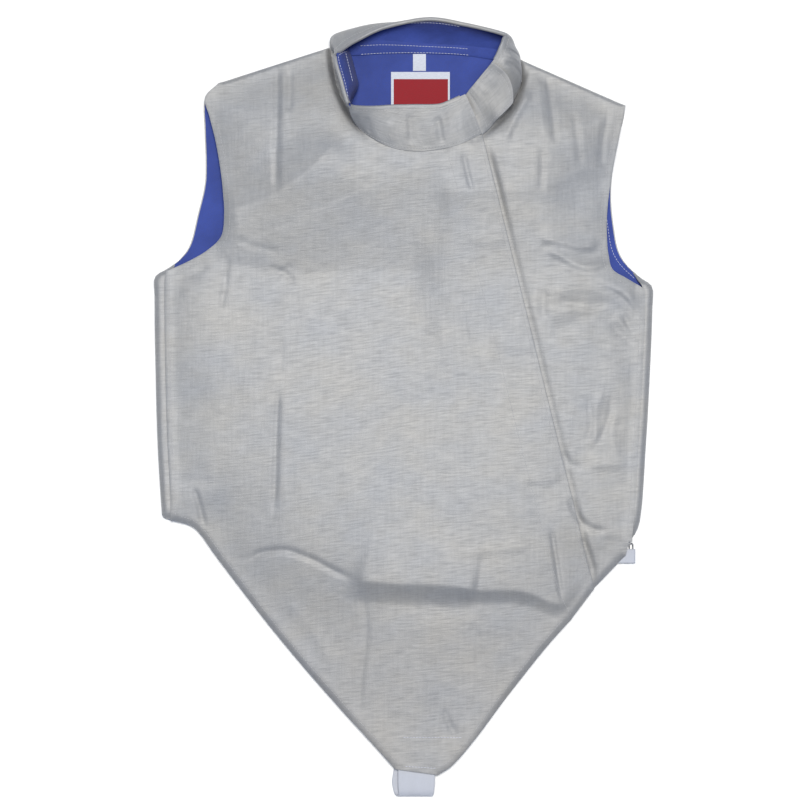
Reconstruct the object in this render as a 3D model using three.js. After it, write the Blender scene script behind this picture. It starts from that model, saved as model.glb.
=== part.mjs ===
import * as THREE from "three";

// Sleeveless fencing lame, closed, lying on its back with the front up.
// Millimetres. +X is the wearer's left, +Y runs from the point to the collar, +Z is up.

const SHELL = 1.2; // metallic cloth
const LINING = 1.0; // lining cloth
const PLY_GAP = 0.6; // air between a cloth and what lies under it
const COLLAR_GAP = 0.7; // the same in the collar, which bends more
const SEAM_AIR = 0.7; // air across the seam between the front and the flap
const SHOULDER_ROLL = 6; // radius of the fold along the shoulders
const SIDE_ROLL = 7; // radius of the fold that carries the back round each side
const LEFT_OVER = 5; // flat part of the back beyond its roll, up to the left side seam
const RIGHT_OVER = 2.5; // the same on the right
const RISE_START = 10; // the front is flat this far in from the rim
const RISE_WIDTH = 120; // and reaches its full height over this width
const RIM_POWER = 6; // how sharply the front's slopes meet where two sides of the rim are equally near
const TOUCHING = 0.01; // least distance from the rim that counts
const FOLD_START = 2; // folds begin this far in from the rim
const FOLD_WIDTH = 30; // and have their full height over this width
const FOLD_ENDS = 6; // a fold dies out over one part in this many at each end
const FLAP_PLY = 1.6; // doubled cloth of the closure flap
const FLAP_DROP = FLAP_PLY + 1.4; // how far the side front lies below the flap's face
const DROP_WIDTH = 0.6; // share of the side front's width over which it comes up to the flap's level
const DROP_ROWS = 4; // rows below the shoulder over which it goes down
const TAB_PLY = 1.6; // doubled cloth of the collar tab
const STRAP_PLY = 1.4; // elastic of the crotch strap
const WEBBING_PLY = 1.0; // webbing of the hip tab
const HOOK_WIRE = 1.1; // wire of the hip hook
const LABEL_PLY = 0.5; // woven labels

const SIDE_HEIGHT = 2 * SIDE_ROLL;
const SIDE_TURN = Math.PI * SIDE_ROLL;
const LINING_TOP = SHELL + PLY_GAP;
const WALL = LINING_TOP + LINING;
const COLLAR_TOP = SHELL + COLLAR_GAP;

function table(columns, ...rows) {
  return rows.map((row) => Object.fromEntries(columns.map((name, i) => [name, row[i]])));
}

// Edges of the front, shoulder to point. The right edge is the neck, then the closure, then the hem.
// From the closure's top to the hem, flapX and flapY give the free edge of the flap.
const FRONT_ROWS = table(
  ["leftX", "leftY", "rightX", "rightY", "flapX", "flapY"],
  [-187, 325.5, -77.5, 362],
  [-200.5, 311, -76.2, 350.5],
  [-196, 292, -74.2, 336],
  [-190, 268, -70.4, 320],
  [-185, 240, -62.8, 302],
  [-182, 213, -49.6, 280.3],
  [-181, 193, -31.4, 267.2],
  [-184, 172, -10.3, 258.2],
  [-198, 158, 14, 255.1],
  [-217, 147, 38.6, 257.2, 77.6, 271.6],
  [-237, 138, 47, 226, 86.5, 236],
  [-238.2, 122, 54, 198, 93.5, 208],
  [-238, 80, 66, 150, 105.5, 159.5],
  [-237.3, 40, 78, 100, 118, 109.5],
  [-236.4, 0, 91, 50, 130.3, 60],
  [-235.2, -35, 103, 0, 142.5, 10],
  [-233.4, -68, 115, -48, 154.3, -38],
  [-231.6, -93, 127, -95, 165.8, -84],
  [-229, -112, 136, -130, 174, -117],
  [-215, -118, 144, -160, 180, -143],
  [-205, -127, 150, -180, 184.5, -161],
  [-193, -144, 157, -198, 187.5, -172],
  [-178.4, -163.6, 166, -212.7, 190, -181],
  [-141.6, -211.4, 140, -242],
  [-103.4, -257.9, 102, -290],
  [-63.7, -303, 72, -330],
  [-33, -336.3, 49, -357],
  [-10, -362, 33, -368],
);
const CLOSURE_ROWS = FRONT_ROWS.filter((row) => row.flapX !== undefined);

// Edges of the side front, shoulder to hem. The left edge is the neck, then the line under the flap.
const SIDE_ROWS = table(
  ["leftX", "leftY", "rightX", "rightY"],
  [115.8, 350, 221, 303],
  [116.1, 341.5, 218, 288],
  [118, 323, 214, 268],
  [108, 300.8, 209, 243],
  [93.3, 284.6, 204.5, 215],
  [81.6, 274, 202.3, 190],
  [66, 266.4, 202.5, 168],
  [69, 250, 204, 153],
  [74, 230, 208, 139],
  [79, 208, 222, 130],
  [85, 185, 237.6, 121],
  [95, 145, 237.6, 95],
  [105, 105, 236.6, 65],
  [115, 65, 235.2, 35],
  [125, 25, 233.6, 5],
  [135, -15, 231.7, -28],
  [145, -55, 229.6, -62],
  [154, -92, 227.3, -92],
  [162, -125, 224, -116],
  [169, -155, 223, -134],
  [178, -193, 221, -148],
);

// Edges of the back, shoulder to tail, and the radius of the roll that carries it round each side.
const BACK_ROWS = table(
  ["leftX", "leftY", "rightX", "rightY", "roll"],
  [-187, 325.5, 221, 303, 0],
  [-201, 310, 219, 289, 0],
  [-201, 278, 214, 270, 0],
  [-200, 248, 208, 236, 0],
  [-201, 223, 207, 206, 0],
  [-208, 193, 210, 178, 0],
  [-215, 165, 214, 158, 0],
  [-225, 150, 222, 144, 0],
  [-238, 140, 236, 131, 3.2],
  [-250.8, 131, 248, 121, SIDE_ROLL],
  [-251, 112, 248, 100, SIDE_ROLL],
  [-250.8, 78, 247, 68, SIDE_ROLL],
  [-250, 40, 245.5, 35, SIDE_ROLL],
  [-249.2, 0, 243.5, -5, SIDE_ROLL],
  [-247.8, -40, 241, -45, SIDE_ROLL],
  [-245.8, -75, 239, -78, SIDE_ROLL],
  [-244, -100, 237, -102, SIDE_ROLL],
  [-242, -110, 233, -122, 4.5],
  [-228, -114, 222, -138, 0],
  [-206, -120, 200, -156, 0],
  [-180, -146, 172, -190, 0],
  [-130, -207, 128, -242, 0],
  [-80, -268, 84, -297, 0],
  [-40, -310, 52, -326, 0],
  [-8, -330, 30, -334, 0],
);
const UNDERARM = 9; // row of the back at the foot of the armholes
const TURN_ROWS = 4; // rows over which its top edge turns up to the shoulders and the collar

// Top edge of the back: shoulder, neck, shoulder. Where fold is 1 it turns up to the shoulder seam.
const BACK_TOP = table(
  ["x", "y", "lift", "fold"],
  [-187, 325.5, SHOULDER_ROLL, 1],
  [-76, 361.2, SHOULDER_ROLL, 1],
  [-55, 357.6, 5, 0],
  [-20, 359.2, 1.5, 0],
  [20, 359.2, 1.2, 0],
  [60, 357.2, 1.5, 0],
  [95, 352.2, 5, 0],
  [114, 349.6, SHOULDER_ROLL, 1],
  [221, 303, SHOULDER_ROLL, 1],
);
const NECK_REACH = 28; // the back lifts toward the collar over this distance
const TOP_FADE = 1.5; // how quickly the shape of the top edge fades toward the underarm

// Columns of the back, measured along the cloth from each side seam, and the shares between them.
const TURN_SHARES = [0, 0.25, 0.5, 0.75, 1];
const LEFT_COLUMNS = [0, ...TURN_SHARES.map((share) => LEFT_OVER + share * SIDE_TURN)];
const RIGHT_COLUMNS = [0, ...TURN_SHARES.map((share) => RIGHT_OVER + share * SIDE_TURN)];
const MIDDLE_SHARES = [0.12, 0.2356, 0.2945, 0.4, 0.52, 0.64, 0.7686, 0.885];
const NARROW_ROW = 160; // rows shorter than this draw their side columns together

// Line round the body where the front meets the back, with the front's height just inside it.
const RIM = table(
  ["x", "y", "height"],
  [-77, 361.7, 12.6],
  [-187, 325.5, 12.6],
  [-201, 311, 13],
  [-212, 225, SIDE_HEIGHT],
  [-226, 165, SIDE_HEIGHT],
  [-250.8, 131, SIDE_HEIGHT],
  [-250.8, 78, SIDE_HEIGHT],
  [-249.2, 0, SIDE_HEIGHT],
  [-245.8, -75, SIDE_HEIGHT],
  [-242, -110, 13],
  [-205, -127, 11.5],
  [-113, -246, 11],
  [-12, -358, 12],
  [33, -368, 12],
  [102, -290, 11],
  [190, -181, 12],
  [231, -136, 13],
  [238, -85, SIDE_HEIGHT],
  [243, -5, SIDE_HEIGHT],
  [247, 68, SIDE_HEIGHT],
  [248, 121, SIDE_HEIGHT],
  [222, 160, SIDE_HEIGHT],
  [212, 225, SIDE_HEIGHT],
  [221, 303, 12.6],
  [115.5, 350, 12.6],
);

// Full height of the front along the body.
const CROWN = table(
  ["y", "height"],
  [-368, 12.5],
  [-330, 13],
  [-300, 15.5],
  [-200, 23],
  [-150, 29],
  [0, 32],
  [140, 34],
  [200, 37],
  [256, 44],
  [360, 44],
);

// Folds of the front: a step is high on its left side, seen along it, and low on its right.
const FOLDS = [
  { name: "waist", shape: "step", height: 4, width: 15,
    line: [[-160, -151], [-118, -143], [-75, -160], [-40, -175], [45, -180], [129, -188], [163, -203]] },
  { name: "chest", shape: "step", height: 2, width: 16,
    line: [[-186, 148], [-120, 134], [65, 140]] },
  { name: "left shoulder", shape: "ridge", height: 2, width: 14,
    line: [[-128, 338], [-130, 205]] },
  { name: "left flank", shape: "ridge", height: 2.5, width: 16,
    line: [[-128, 12], [-132, -116]] },
  { name: "right chest", shape: "step", height: 2.5, width: 15,
    line: [[140, 112], [195, 122], [226, 111], [240, 82]] },
  { name: "right hip", shape: "ridge", height: 2.5, width: 12,
    line: [[176, -92], [182, -112], [206, -127]] },
];

// Collar stations from the closure round the back of the neck to the closure again.
// Each gives the seam, the middle and the top edge of the band; side says what the seam joins.
const COLLAR = table(
  ["side", "seamX", "seamY", "midX", "midY", "midZ", "topX", "topY", "topZ"],
  ["flap", 77, 274, 69, 293.5, 49, 60, 313, 55],
  ["flap", 59, 265, 53, 286, 49, 47, 307, 55],
  ["front", 40, 259, 36.5, 280.5, 49, 33, 302, 54],
  ["front", 14, 256, 12, 279, 49.5, 10, 301.5, 54],
  ["front", -10, 259, -11, 280, 49.5, -12, 301, 54],
  ["front", -31, 268, -33, 283, 51, -33, 299.5, 57],
  ["front", -49, 281, -56, 287, 53, -52, 298.5, 64],
  ["front", -62, 302, -67, 303.5, 50, -58, 302, 69],
  ["front", -71, 328, -74.5, 328, 46, -64, 324, 67],
  ["front", -74.8, 350.5, -79, 354, 37, -70, 349, 61],
  ["back", -74.3, 361.6, -73, 371, 28, -62, 358, 52],
  ["back", -55, 358.4, -55, 379, 20, -47, 368, 41],
  ["back", -20, 360, -25, 383, 17, -20, 381, 35],
  ["back", 20, 360, 21, 379, 12, 22, 390, 32],
  ["back", 60, 358, 61, 376, 13, 60, 384.5, 33],
  ["back", 95, 353, 102, 370, 22, 99, 374, 42],
  ["back", 112.3, 350.4, 111, 360, 28, 99, 367, 48],
  ["side", 114.3, 342.5, 113, 351, 33, 95.5, 360, 52],
  ["side", 116, 323, 111, 339, 38, 89, 348, 54],
  ["side", 106, 302, 98, 319, 41, 76, 332, 50],
  ["side", 92, 286, 82, 305, 43, 67, 321, 50],
  ["side", 81, 275, 73, 295, 43.5, 62, 314.5, 50],
);
const COLLAR_COLUMNS = 54;
const COLLAR_RISE = { back: 0.3, flap: 0.6, front: 0, side: -FLAP_DROP }; // of its seam over the cloth
const TAB_START = 18.2; // stations between which the tab lies, at the top edge of the collar
const TAB_SLANT = 0.75; // how much nearer the closure its end is at the seam
const TAB_END = 20.98;

// Crotch strap, from under the front point round its fold and back along the floor to the tail.
const STRAP = table(
  ["y", "z", "centreX", "width"],
  [-346, 8.6, 10, 40],
  [-360, 8.8, 10, 40],
  [-374, 9.4, 10, 39],
  [-383, 9.2, 10, 37],
  [-388, 7.2, 10, 35],
  [-389.4, 4.6, 9, 34],
  [-388, 1.9, 8, 35],
  [-384, 0.4, 7, 36],
  [-374, 0, 6, 38],
  [-355, 0, 9, 38],
  [-335.2, 0, 11, 36],
);

// Divisions of each cloth across and, at the shoulders, of its first row along the quarter fold.
const FRONT_COLUMNS = [0, 0.025, 0.08, 0.17, 0.27, 0.38, 0.49, 0.6, 0.71, 0.81, 0.9, 0.965, 1];
const SIDE_COLUMNS = [0, 0.06, 0.2, 0.36, 0.54, 0.72, 0.88, 1];
const FLAP_COLUMNS = [0, 0.25, 0.6, 1];
const ZIP_COLUMNS = [0.1, 0.25, 0.5];
const COLLAR_SHARES = [0, 0.25, 0.5, 0.75, 1];
const TAB_SHARES = [0.04, 0.25, 0.5, 0.75, 1];
const TAB_COLUMNS = 7;
const SHOULDER_STEPS = [0, 0.044, 0.167, 0.36];
const BACK_STEPS = [0, 0.062, 0.23, 0.47];

// How much of the outermost divisions each lining leaves out.
const LINING_EDGES = {
  front: { left: 0.4, right: 0.3, top: 0.9, bottom: 0.15 },
  side: { left: 0.3, right: 0.15, top: 0.9, bottom: 0.1 },
  back: { columns: 3, top: 0.9, bottom: 0.2 },
  collar: { left: 0.25, right: 0.25, top: 0.16, bottom: 0.16 },
};

// Hip tab: webbing folded at its right end, with the wire hook held in the fold.
const HIP_TAB = { left: 188, right: 231, bottom: -155.5, top: -141.5, floor: 3.1, room: 1.9 };
const HIP_TAB_SEGMENTS = 6;
const HIP_HOOK = { x: 226.8, y: -142.2, width: 4.6, length: 14, squareness: 4 };
const HOOK_POINTS = 20;
const HOOK_SEGMENTS = 24;
const HOOK_SIDES = 5;

const NECK_LABEL = { x: 15.5, y: 316, width: 59, height: 42, floor: WALL + 0.4 };
const SIZE_TAB = { x: 14.5, y: 346.5, width: 13, height: 17, floor: WALL + 0.75, tilt: 0.05 };

const METALLIC = new THREE.MeshStandardMaterial({ color: 0xb4b5b8, metalness: 0.35, roughness: 0.55 });
const BLUE = new THREE.MeshStandardMaterial({ color: 0x44529f, metalness: 0, roughness: 0.8 });
const WHITE = new THREE.MeshStandardMaterial({ color: 0xd9dbe6, metalness: 0, roughness: 0.7 });
const RED = new THREE.MeshStandardMaterial({ color: 0xc2202c, metalness: 0, roughness: 0.75 });
const WIRE = new THREE.MeshStandardMaterial({ color: 0x4a4d52, metalness: 0.9, roughness: 0.35 });
const DARK = new THREE.MeshStandardMaterial({ color: 0x3a3d46, metalness: 0, roughness: 0.8 });

const clamp = THREE.MathUtils.clamp;
const lerp = THREE.MathUtils.lerp;

// Value of one column of a table at a position counted in rows.
function atRow(rows, position, column) {
  const i = clamp(Math.floor(position), 0, rows.length - 2);
  return lerp(rows[i][column], rows[i + 1][column], position - i);
}

// Value of one column of a table whose rows are sorted by another column.
function atKey(rows, key, value, column) {
  let i = 0;
  while (i < rows.length - 2 && value > rows[i + 1][key]) i += 1;
  const share = clamp((value - rows[i][key]) / (rows[i + 1][key] - rows[i][key]), 0, 1);
  return lerp(rows[i][column], rows[i + 1][column], share);
}

// Nearest place on the piece from a to b: distance, share along it, and side (left is positive).
function nearest(ax, ay, bx, by, x, y) {
  const dx = bx - ax;
  const dy = by - ay;
  const share = clamp(((x - ax) * dx + (y - ay) * dy) / (dx * dx + dy * dy), 0, 1);
  const away = Math.hypot(x - ax - share * dx, y - ay - share * dy);
  const side = dx * (y - ay) - dy * (x - ax) >= 0 ? 1 : -1;
  return { away, share, side };
}

function foldHeight(fold, x, y) {
  const pieces = fold.line.length - 1;
  let best = { away: Infinity };
  for (let i = 0; i < pieces; i += 1) {
    const [a, b] = [fold.line[i], fold.line[i + 1]];
    const found = nearest(a[0], a[1], b[0], b[1], x, y);
    if (found.away < best.away) best = { ...found, along: (i + found.share) / pieces };
  }
  const fade = Math.min(1, FOLD_ENDS * best.along, FOLD_ENDS * (1 - best.along));
  const t = best.away / fold.width;
  if (fold.shape === "ridge") return fold.height * fade * Math.exp(-t * t);
  return fold.height * fade * best.side * t * Math.exp(0.5 - 0.5 * t * t);
}

// Height of the outside of the front over the floor.
function frontHeight(x, y) {
  let closeness = 0;
  let rim = 0;
  for (let i = 0; i + 1 < RIM.length; i += 1) {
    const [a, b] = [RIM[i], RIM[i + 1]];
    const found = nearest(a.x, a.y, b.x, b.y, x, y);
    const weight = Math.pow(Math.max(found.away, TOUCHING), -RIM_POWER);
    closeness += weight;
    rim += weight * lerp(a.height, b.height, found.share);
  }
  const inset = Math.pow(closeness, -1 / RIM_POWER);
  const t = clamp((inset - RISE_START) / RISE_WIDTH, 0, 1);
  const rise = 1 - (1 - t) * (1 - t);
  const base = rim / closeness;
  const folds = FOLDS.reduce((sum, fold) => sum + foldHeight(fold, x, y), 0);
  const settle = clamp((inset - FOLD_START) / FOLD_WIDTH, 0, 1);
  return lerp(base, atKey(CROWN, "y", y, "height"), rise) + folds * settle;
}

// How far a quarter fold of one radius falls at a distance from its edge.
function quarterFall(inset, radius) {
  if (inset >= radius) return 0;
  const across = radius - Math.max(inset, 0);
  return radius - Math.sqrt(Math.max(0, radius * radius - across * across));
}

function planAt(rows, u, v) {
  const x = lerp(atRow(rows, v, "leftX"), atRow(rows, v, "rightX"), u);
  const y = lerp(atRow(rows, v, "leftY"), atRow(rows, v, "rightY"), u);
  return { x, y };
}

// Outside of the front, of the side front and of the closure flap.
function frontPlace(u, v) {
  const plan = planAt(FRONT_ROWS, u, v);
  const edge = planAt(FRONT_ROWS, u, 0);
  const inset = v < 1 ? Math.hypot(plan.x - edge.x, plan.y - edge.y) : Infinity;
  const z = frontHeight(plan.x, plan.y) - quarterFall(inset, SHOULDER_ROLL);
  return new THREE.Vector3(plan.x, plan.y, z);
}

function sidePlace(u, v) {
  const plan = planAt(SIDE_ROWS, u, v);
  const edge = planAt(SIDE_ROWS, u, 0);
  const inset = v < 1 ? Math.hypot(plan.x - edge.x, plan.y - edge.y) : Infinity;
  const under = FLAP_DROP * clamp((1 - u) / DROP_WIDTH, 0, 1) * clamp(v / DROP_ROWS, 0, 1);
  const z = frontHeight(plan.x, plan.y) - quarterFall(inset, SHOULDER_ROLL) - under;
  return new THREE.Vector3(plan.x, plan.y, z);
}

function flapPlace(u, v) {
  const seam = { x: atRow(CLOSURE_ROWS, v, "rightX"), y: atRow(CLOSURE_ROWS, v, "rightY") };
  const free = { x: atRow(CLOSURE_ROWS, v, "flapX"), y: atRow(CLOSURE_ROWS, v, "flapY") };
  const width = Math.hypot(free.x - seam.x, free.y - seam.y);
  const share = lerp(SEAM_AIR / width, 1, u);
  const x = lerp(seam.x, free.x, share);
  const y = lerp(seam.y, free.y, share);
  return new THREE.Vector3(x, y, frontHeight(x, y));
}

// Outside of the back: flat on the floor, rolled up round the sides and up to the shoulder seams.
function backRow(v) {
  const left = new THREE.Vector2(atRow(BACK_ROWS, v, "leftX"), atRow(BACK_ROWS, v, "leftY"));
  const right = new THREE.Vector2(atRow(BACK_ROWS, v, "rightX"), atRow(BACK_ROWS, v, "rightY"));
  const roll = atRow(BACK_ROWS, v, "roll");
  const share = roll / SIDE_ROLL;
  const leftTurn = share * LEFT_OVER + Math.PI * roll;
  const rightTurn = share * RIGHT_OVER + Math.PI * roll;
  const width = left.distanceTo(right);
  const length = width - 2 * roll + leftTurn + rightTurn;
  return { left, right, roll, share, leftTurn, rightTurn, width, length };
}

function backColumn(row, u) {
  const draw = Math.min(1, row.length / NARROW_ROW);
  const from = LEFT_COLUMNS.map((a) => a * draw);
  const to = RIGHT_COLUMNS.map((a) => row.length - a * draw).reverse();
  const middle = MIDDLE_SHARES.map((share) => lerp(from[from.length - 1], to[0], share));
  const columns = [...from, ...middle, ...to];
  const i = clamp(Math.floor(u), 0, columns.length - 2);
  return lerp(columns[i], columns[i + 1], u - i);
}

// Inset from the side and height, at a length along the cloth from the side seam.
function turned(length, over, roll) {
  if (length < over) return { inset: roll + over - length, z: 2 * roll };
  const angle = roll > 0 ? (length - over) / roll : Math.PI;
  if (angle >= Math.PI) return { inset: length - over - Math.PI * roll + roll, z: 0 };
  return { inset: roll * (1 - Math.sin(angle)), z: roll * (1 + Math.cos(angle)) };
}

function backPlace(u, v) {
  const row = backRow(v);
  const length = backColumn(row, u);
  let inset;
  let z = 0;
  if (length < 0.5 * row.length) {
    ({ inset, z } = turned(length, row.share * LEFT_OVER, row.roll));
  } else {
    ({ inset, z } = turned(row.length - length, row.share * RIGHT_OVER, row.roll));
    inset = row.width - inset;
  }
  const plan = row.left.clone().lerp(row.right, inset / row.width);
  const top = backRow(0);
  const share = inset / row.width;
  const topX = lerp(top.left.x, top.right.x, share);
  const bump = atKey(BACK_TOP, "x", topX, "y") - lerp(top.left.y, top.right.y, share);
  const fade = Math.pow(clamp(1 - v / UNDERARM, 0, 1), TOP_FADE);
  const below = (1 - fade) * bump + top.left.clone().lerp(top.right, share).distanceTo(plan);
  const lift = atKey(BACK_TOP, "x", topX, "lift");
  const fold = atKey(BACK_TOP, "x", topX, "fold");
  const neck = Math.pow(clamp(1 - below / NECK_REACH, 0, 1), 2);
  const up = fold * quarterFall(below, SHOULDER_ROLL) + (1 - fold) * lift * neck;
  return new THREE.Vector3(plan.x, plan.y + bump * fade, v < TURN_ROWS ? z + up : z);
}

// Outside of the collar, from its seam at v = 0 to its top edge at v = 1.
function seamHeight(station) {
  const { side, seamX, seamY } = station;
  if (side === "back") return COLLAR_RISE.back + atKey(BACK_TOP, "x", seamX, "lift");
  const shoulders = [[RIM[0], RIM[1]], [RIM.at(-1), RIM.at(-2)]];
  const away = shoulders.map(([a, b]) => nearest(a.x, a.y, b.x, b.y, seamX, seamY).away);
  const fall = quarterFall(Math.min(...away), SHOULDER_ROLL);
  return frontHeight(seamX, seamY) - fall + COLLAR_RISE[side];
}

const RINGS = [
  COLLAR.map((s) => new THREE.Vector3(s.seamX, s.seamY, seamHeight(s))),
  COLLAR.map((s) => new THREE.Vector3(s.midX, s.midY, s.midZ)),
  COLLAR.map((s) => new THREE.Vector3(s.topX, s.topY, s.topZ)),
].map((points) => new THREE.CatmullRomCurve3(points));

function collarPlace(u, v) {
  const [seam, mid, top] = RINGS.map((ring) => ring.getPoint(clamp(u / (COLLAR.length - 1), 0, 1)));
  return new THREE.Vector3()
    .addScaledVector(seam, 2 * (v - 0.5) * (v - 1))
    .addScaledVector(mid, 4 * v * (1 - v))
    .addScaledVector(top, 2 * v * (v - 0.5));
}

function tabPlace(u, v) {
  return collarPlace(lerp(TAB_START + TAB_SLANT * (1 - v), TAB_END, u), v);
}

// Direction out of the garment at a place on a cloth.
const STEP = 1e-3;
function outward(place, us, vs, u, v, flip) {
  const u0 = Math.max(u - STEP, us[0]);
  const u1 = Math.min(u + STEP, us[us.length - 1]);
  const v0 = Math.max(v - STEP, vs[0]);
  const v1 = Math.min(v + STEP, vs[vs.length - 1]);
  const du = place(u1, v).sub(place(u0, v));
  const dv = place(u, v1).sub(place(u, v0));
  return dv.cross(du).normalize().multiplyScalar(flip ? -1 : 1);
}

// Closed wall between two depths under the outside of a cloth. Negative depths lie outside it.
function wall(place, us, vs, from, to, flip = false) {
  const points = [];
  for (const depth of [from, to]) {
    for (const v of vs) {
      for (const u of us) {
        const out = outward(place, us, vs, u, v, flip);
        points.push(place(u, v).addScaledVector(out, -depth));
      }
    }
  }
  const across = us.length;
  const along = vs.length;
  const layer = across * along;
  const index = [];
  const quad = (a, b, c, d) => (flip ? index.push(a, b, c, a, c, d) : index.push(a, c, b, a, d, c));
  for (let j = 0; j + 1 < along; j += 1) {
    for (let i = 0; i + 1 < across; i += 1) {
      const a = j * across + i;
      quad(a, a + 1, a + across + 1, a + across);
      quad(layer + a, layer + a + across, layer + a + across + 1, layer + a + 1);
    }
  }
  const rim = [];
  for (let i = 0; i < across; i += 1) rim.push(i);
  for (let j = 1; j < along; j += 1) rim.push(j * across + across - 1);
  for (let i = across - 2; i >= 0; i -= 1) rim.push((along - 1) * across + i);
  for (let j = along - 2; j >= 1; j -= 1) rim.push(j * across);
  rim.forEach((a, k) => {
    const b = rim[(k + 1) % rim.length];
    quad(a, a + layer, b + layer, b);
  });
  const geometry = new THREE.BufferGeometry().setFromPoints(points);
  geometry.setIndex(index);
  geometry.computeVertexNormals();
  return geometry;
}

// The same divisions with the outer ones drawn in, for a lining that stops short of the edges.
function drawnIn(values, first, last) {
  const inner = values.slice(1, -1);
  return [lerp(values[0], values[1], first), ...inner, lerp(values.at(-1), values.at(-2), last)];
}

const steps = (from, to, count) => Array.from({ length: count + 1 }, (_, i) => lerp(from, to, i / count));

const fencingLame = new THREE.Group();
fencingLame.name = "fencing_lame";
function add(name, geometry, material) {
  const mesh = new THREE.Mesh(geometry, material);
  mesh.name = name;
  fencingLame.add(mesh);
  return mesh;
}

function rowsFrom(first, rows) {
  return [...first, ...steps(1, rows.length - 1, rows.length - 2)];
}

const frontVs = rowsFrom(SHOULDER_STEPS, FRONT_ROWS);
add("front_panel", wall(frontPlace, FRONT_COLUMNS, frontVs, 0, SHELL), METALLIC);
const frontEdges = LINING_EDGES.front;
const frontLiningUs = drawnIn(FRONT_COLUMNS, frontEdges.left, frontEdges.right);
const frontLiningVs = drawnIn(frontVs, frontEdges.top, frontEdges.bottom);
add("front_lining", wall(frontPlace, frontLiningUs, frontLiningVs, LINING_TOP, WALL), BLUE);

const sideVs = rowsFrom(SHOULDER_STEPS, SIDE_ROWS);
add("side_front_panel", wall(sidePlace, SIDE_COLUMNS, sideVs, 0, SHELL), METALLIC);
const sideEdges = LINING_EDGES.side;
const sideLiningUs = drawnIn(SIDE_COLUMNS, sideEdges.left, sideEdges.right);
const sideLiningVs = drawnIn(sideVs, sideEdges.top, sideEdges.bottom);
add("side_front_lining", wall(sidePlace, sideLiningUs, sideLiningVs, LINING_TOP, WALL), BLUE);

const flapVs = steps(0, CLOSURE_ROWS.length - 1, CLOSURE_ROWS.length - 1);
add("closure_flap", wall(flapPlace, FLAP_COLUMNS, flapVs, 0, FLAP_PLY), METALLIC);
const zipVs = flapVs.slice(0, -2);
const zipDepth = FLAP_PLY + PLY_GAP;
add("closure_zip", wall(flapPlace, ZIP_COLUMNS, zipVs, zipDepth, zipDepth + SHELL), DARK);

const backCount = LEFT_COLUMNS.length + MIDDLE_SHARES.length + RIGHT_COLUMNS.length - 1;
const backUs = steps(0, backCount, backCount);
const backVs = rowsFrom(BACK_STEPS, BACK_ROWS);
add("back_panel", wall(backPlace, backUs, backVs, 0, SHELL, true), METALLIC);
const backEdges = LINING_EDGES.back;
const backLiningUs = backUs.slice(backEdges.columns, -backEdges.columns);
const backLiningVs = drawnIn(backVs, backEdges.top, backEdges.bottom);
add("back_lining", wall(backPlace, backLiningUs, backLiningVs, LINING_TOP, WALL, true), BLUE);

const collarUs = steps(0, COLLAR.length - 1, COLLAR_COLUMNS);
add("collar_band", wall(collarPlace, collarUs, COLLAR_SHARES, 0, SHELL), METALLIC);
const collarEdges = LINING_EDGES.collar;
const collarLiningUs = drawnIn(collarUs, collarEdges.left, collarEdges.right);
const collarLiningVs = drawnIn(COLLAR_SHARES, collarEdges.bottom, collarEdges.top);
const collarLiningBack = COLLAR_TOP + LINING;
add("collar_lining", wall(collarPlace, collarLiningUs, collarLiningVs, COLLAR_TOP, collarLiningBack), BLUE);
const tabUs = steps(0, 1, TAB_COLUMNS);
add("collar_tab", wall(tabPlace, tabUs, TAB_SHARES, -PLY_GAP - TAB_PLY, -PLY_GAP), METALLIC);

function strapPlace(u, v) {
  const x = atRow(STRAP, v, "centreX") + (u - 0.5) * atRow(STRAP, v, "width");
  return new THREE.Vector3(x, atRow(STRAP, v, "y"), atRow(STRAP, v, "z"));
}
const strapVs = steps(0, STRAP.length - 1, STRAP.length - 1);
add("crotch_strap", wall(strapPlace, [0, 0.5, 1], strapVs, 0, STRAP_PLY), WHITE);

// Hip tab, drawn from the side: two plies joined by a round fold.
const tabSide = new THREE.Shape();
const outerFold = 0.5 * HIP_TAB.room + WEBBING_PLY;
const innerFold = 0.5 * HIP_TAB.room;
const foldX = HIP_TAB.right - outerFold;
tabSide.moveTo(HIP_TAB.left, -outerFold);
tabSide.lineTo(foldX, -outerFold);
tabSide.absarc(foldX, 0, outerFold, -0.5 * Math.PI, 0.5 * Math.PI, false);
tabSide.lineTo(HIP_TAB.left, outerFold);
tabSide.lineTo(HIP_TAB.left, innerFold);
tabSide.lineTo(foldX, innerFold);
tabSide.absarc(foldX, 0, innerFold, 0.5 * Math.PI, -0.5 * Math.PI, true);
tabSide.lineTo(HIP_TAB.left, -innerFold);
tabSide.closePath();
const tabDepth = HIP_TAB.top - HIP_TAB.bottom;
const tabDetail = { depth: tabDepth, bevelEnabled: false, curveSegments: HIP_TAB_SEGMENTS };
const hipTab = add("side_tab", new THREE.ExtrudeGeometry(tabSide, tabDetail), WHITE);
hipTab.rotation.x = 0.5 * Math.PI;
hipTab.position.set(0, HIP_TAB.top, HIP_TAB.floor + outerFold);

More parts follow.
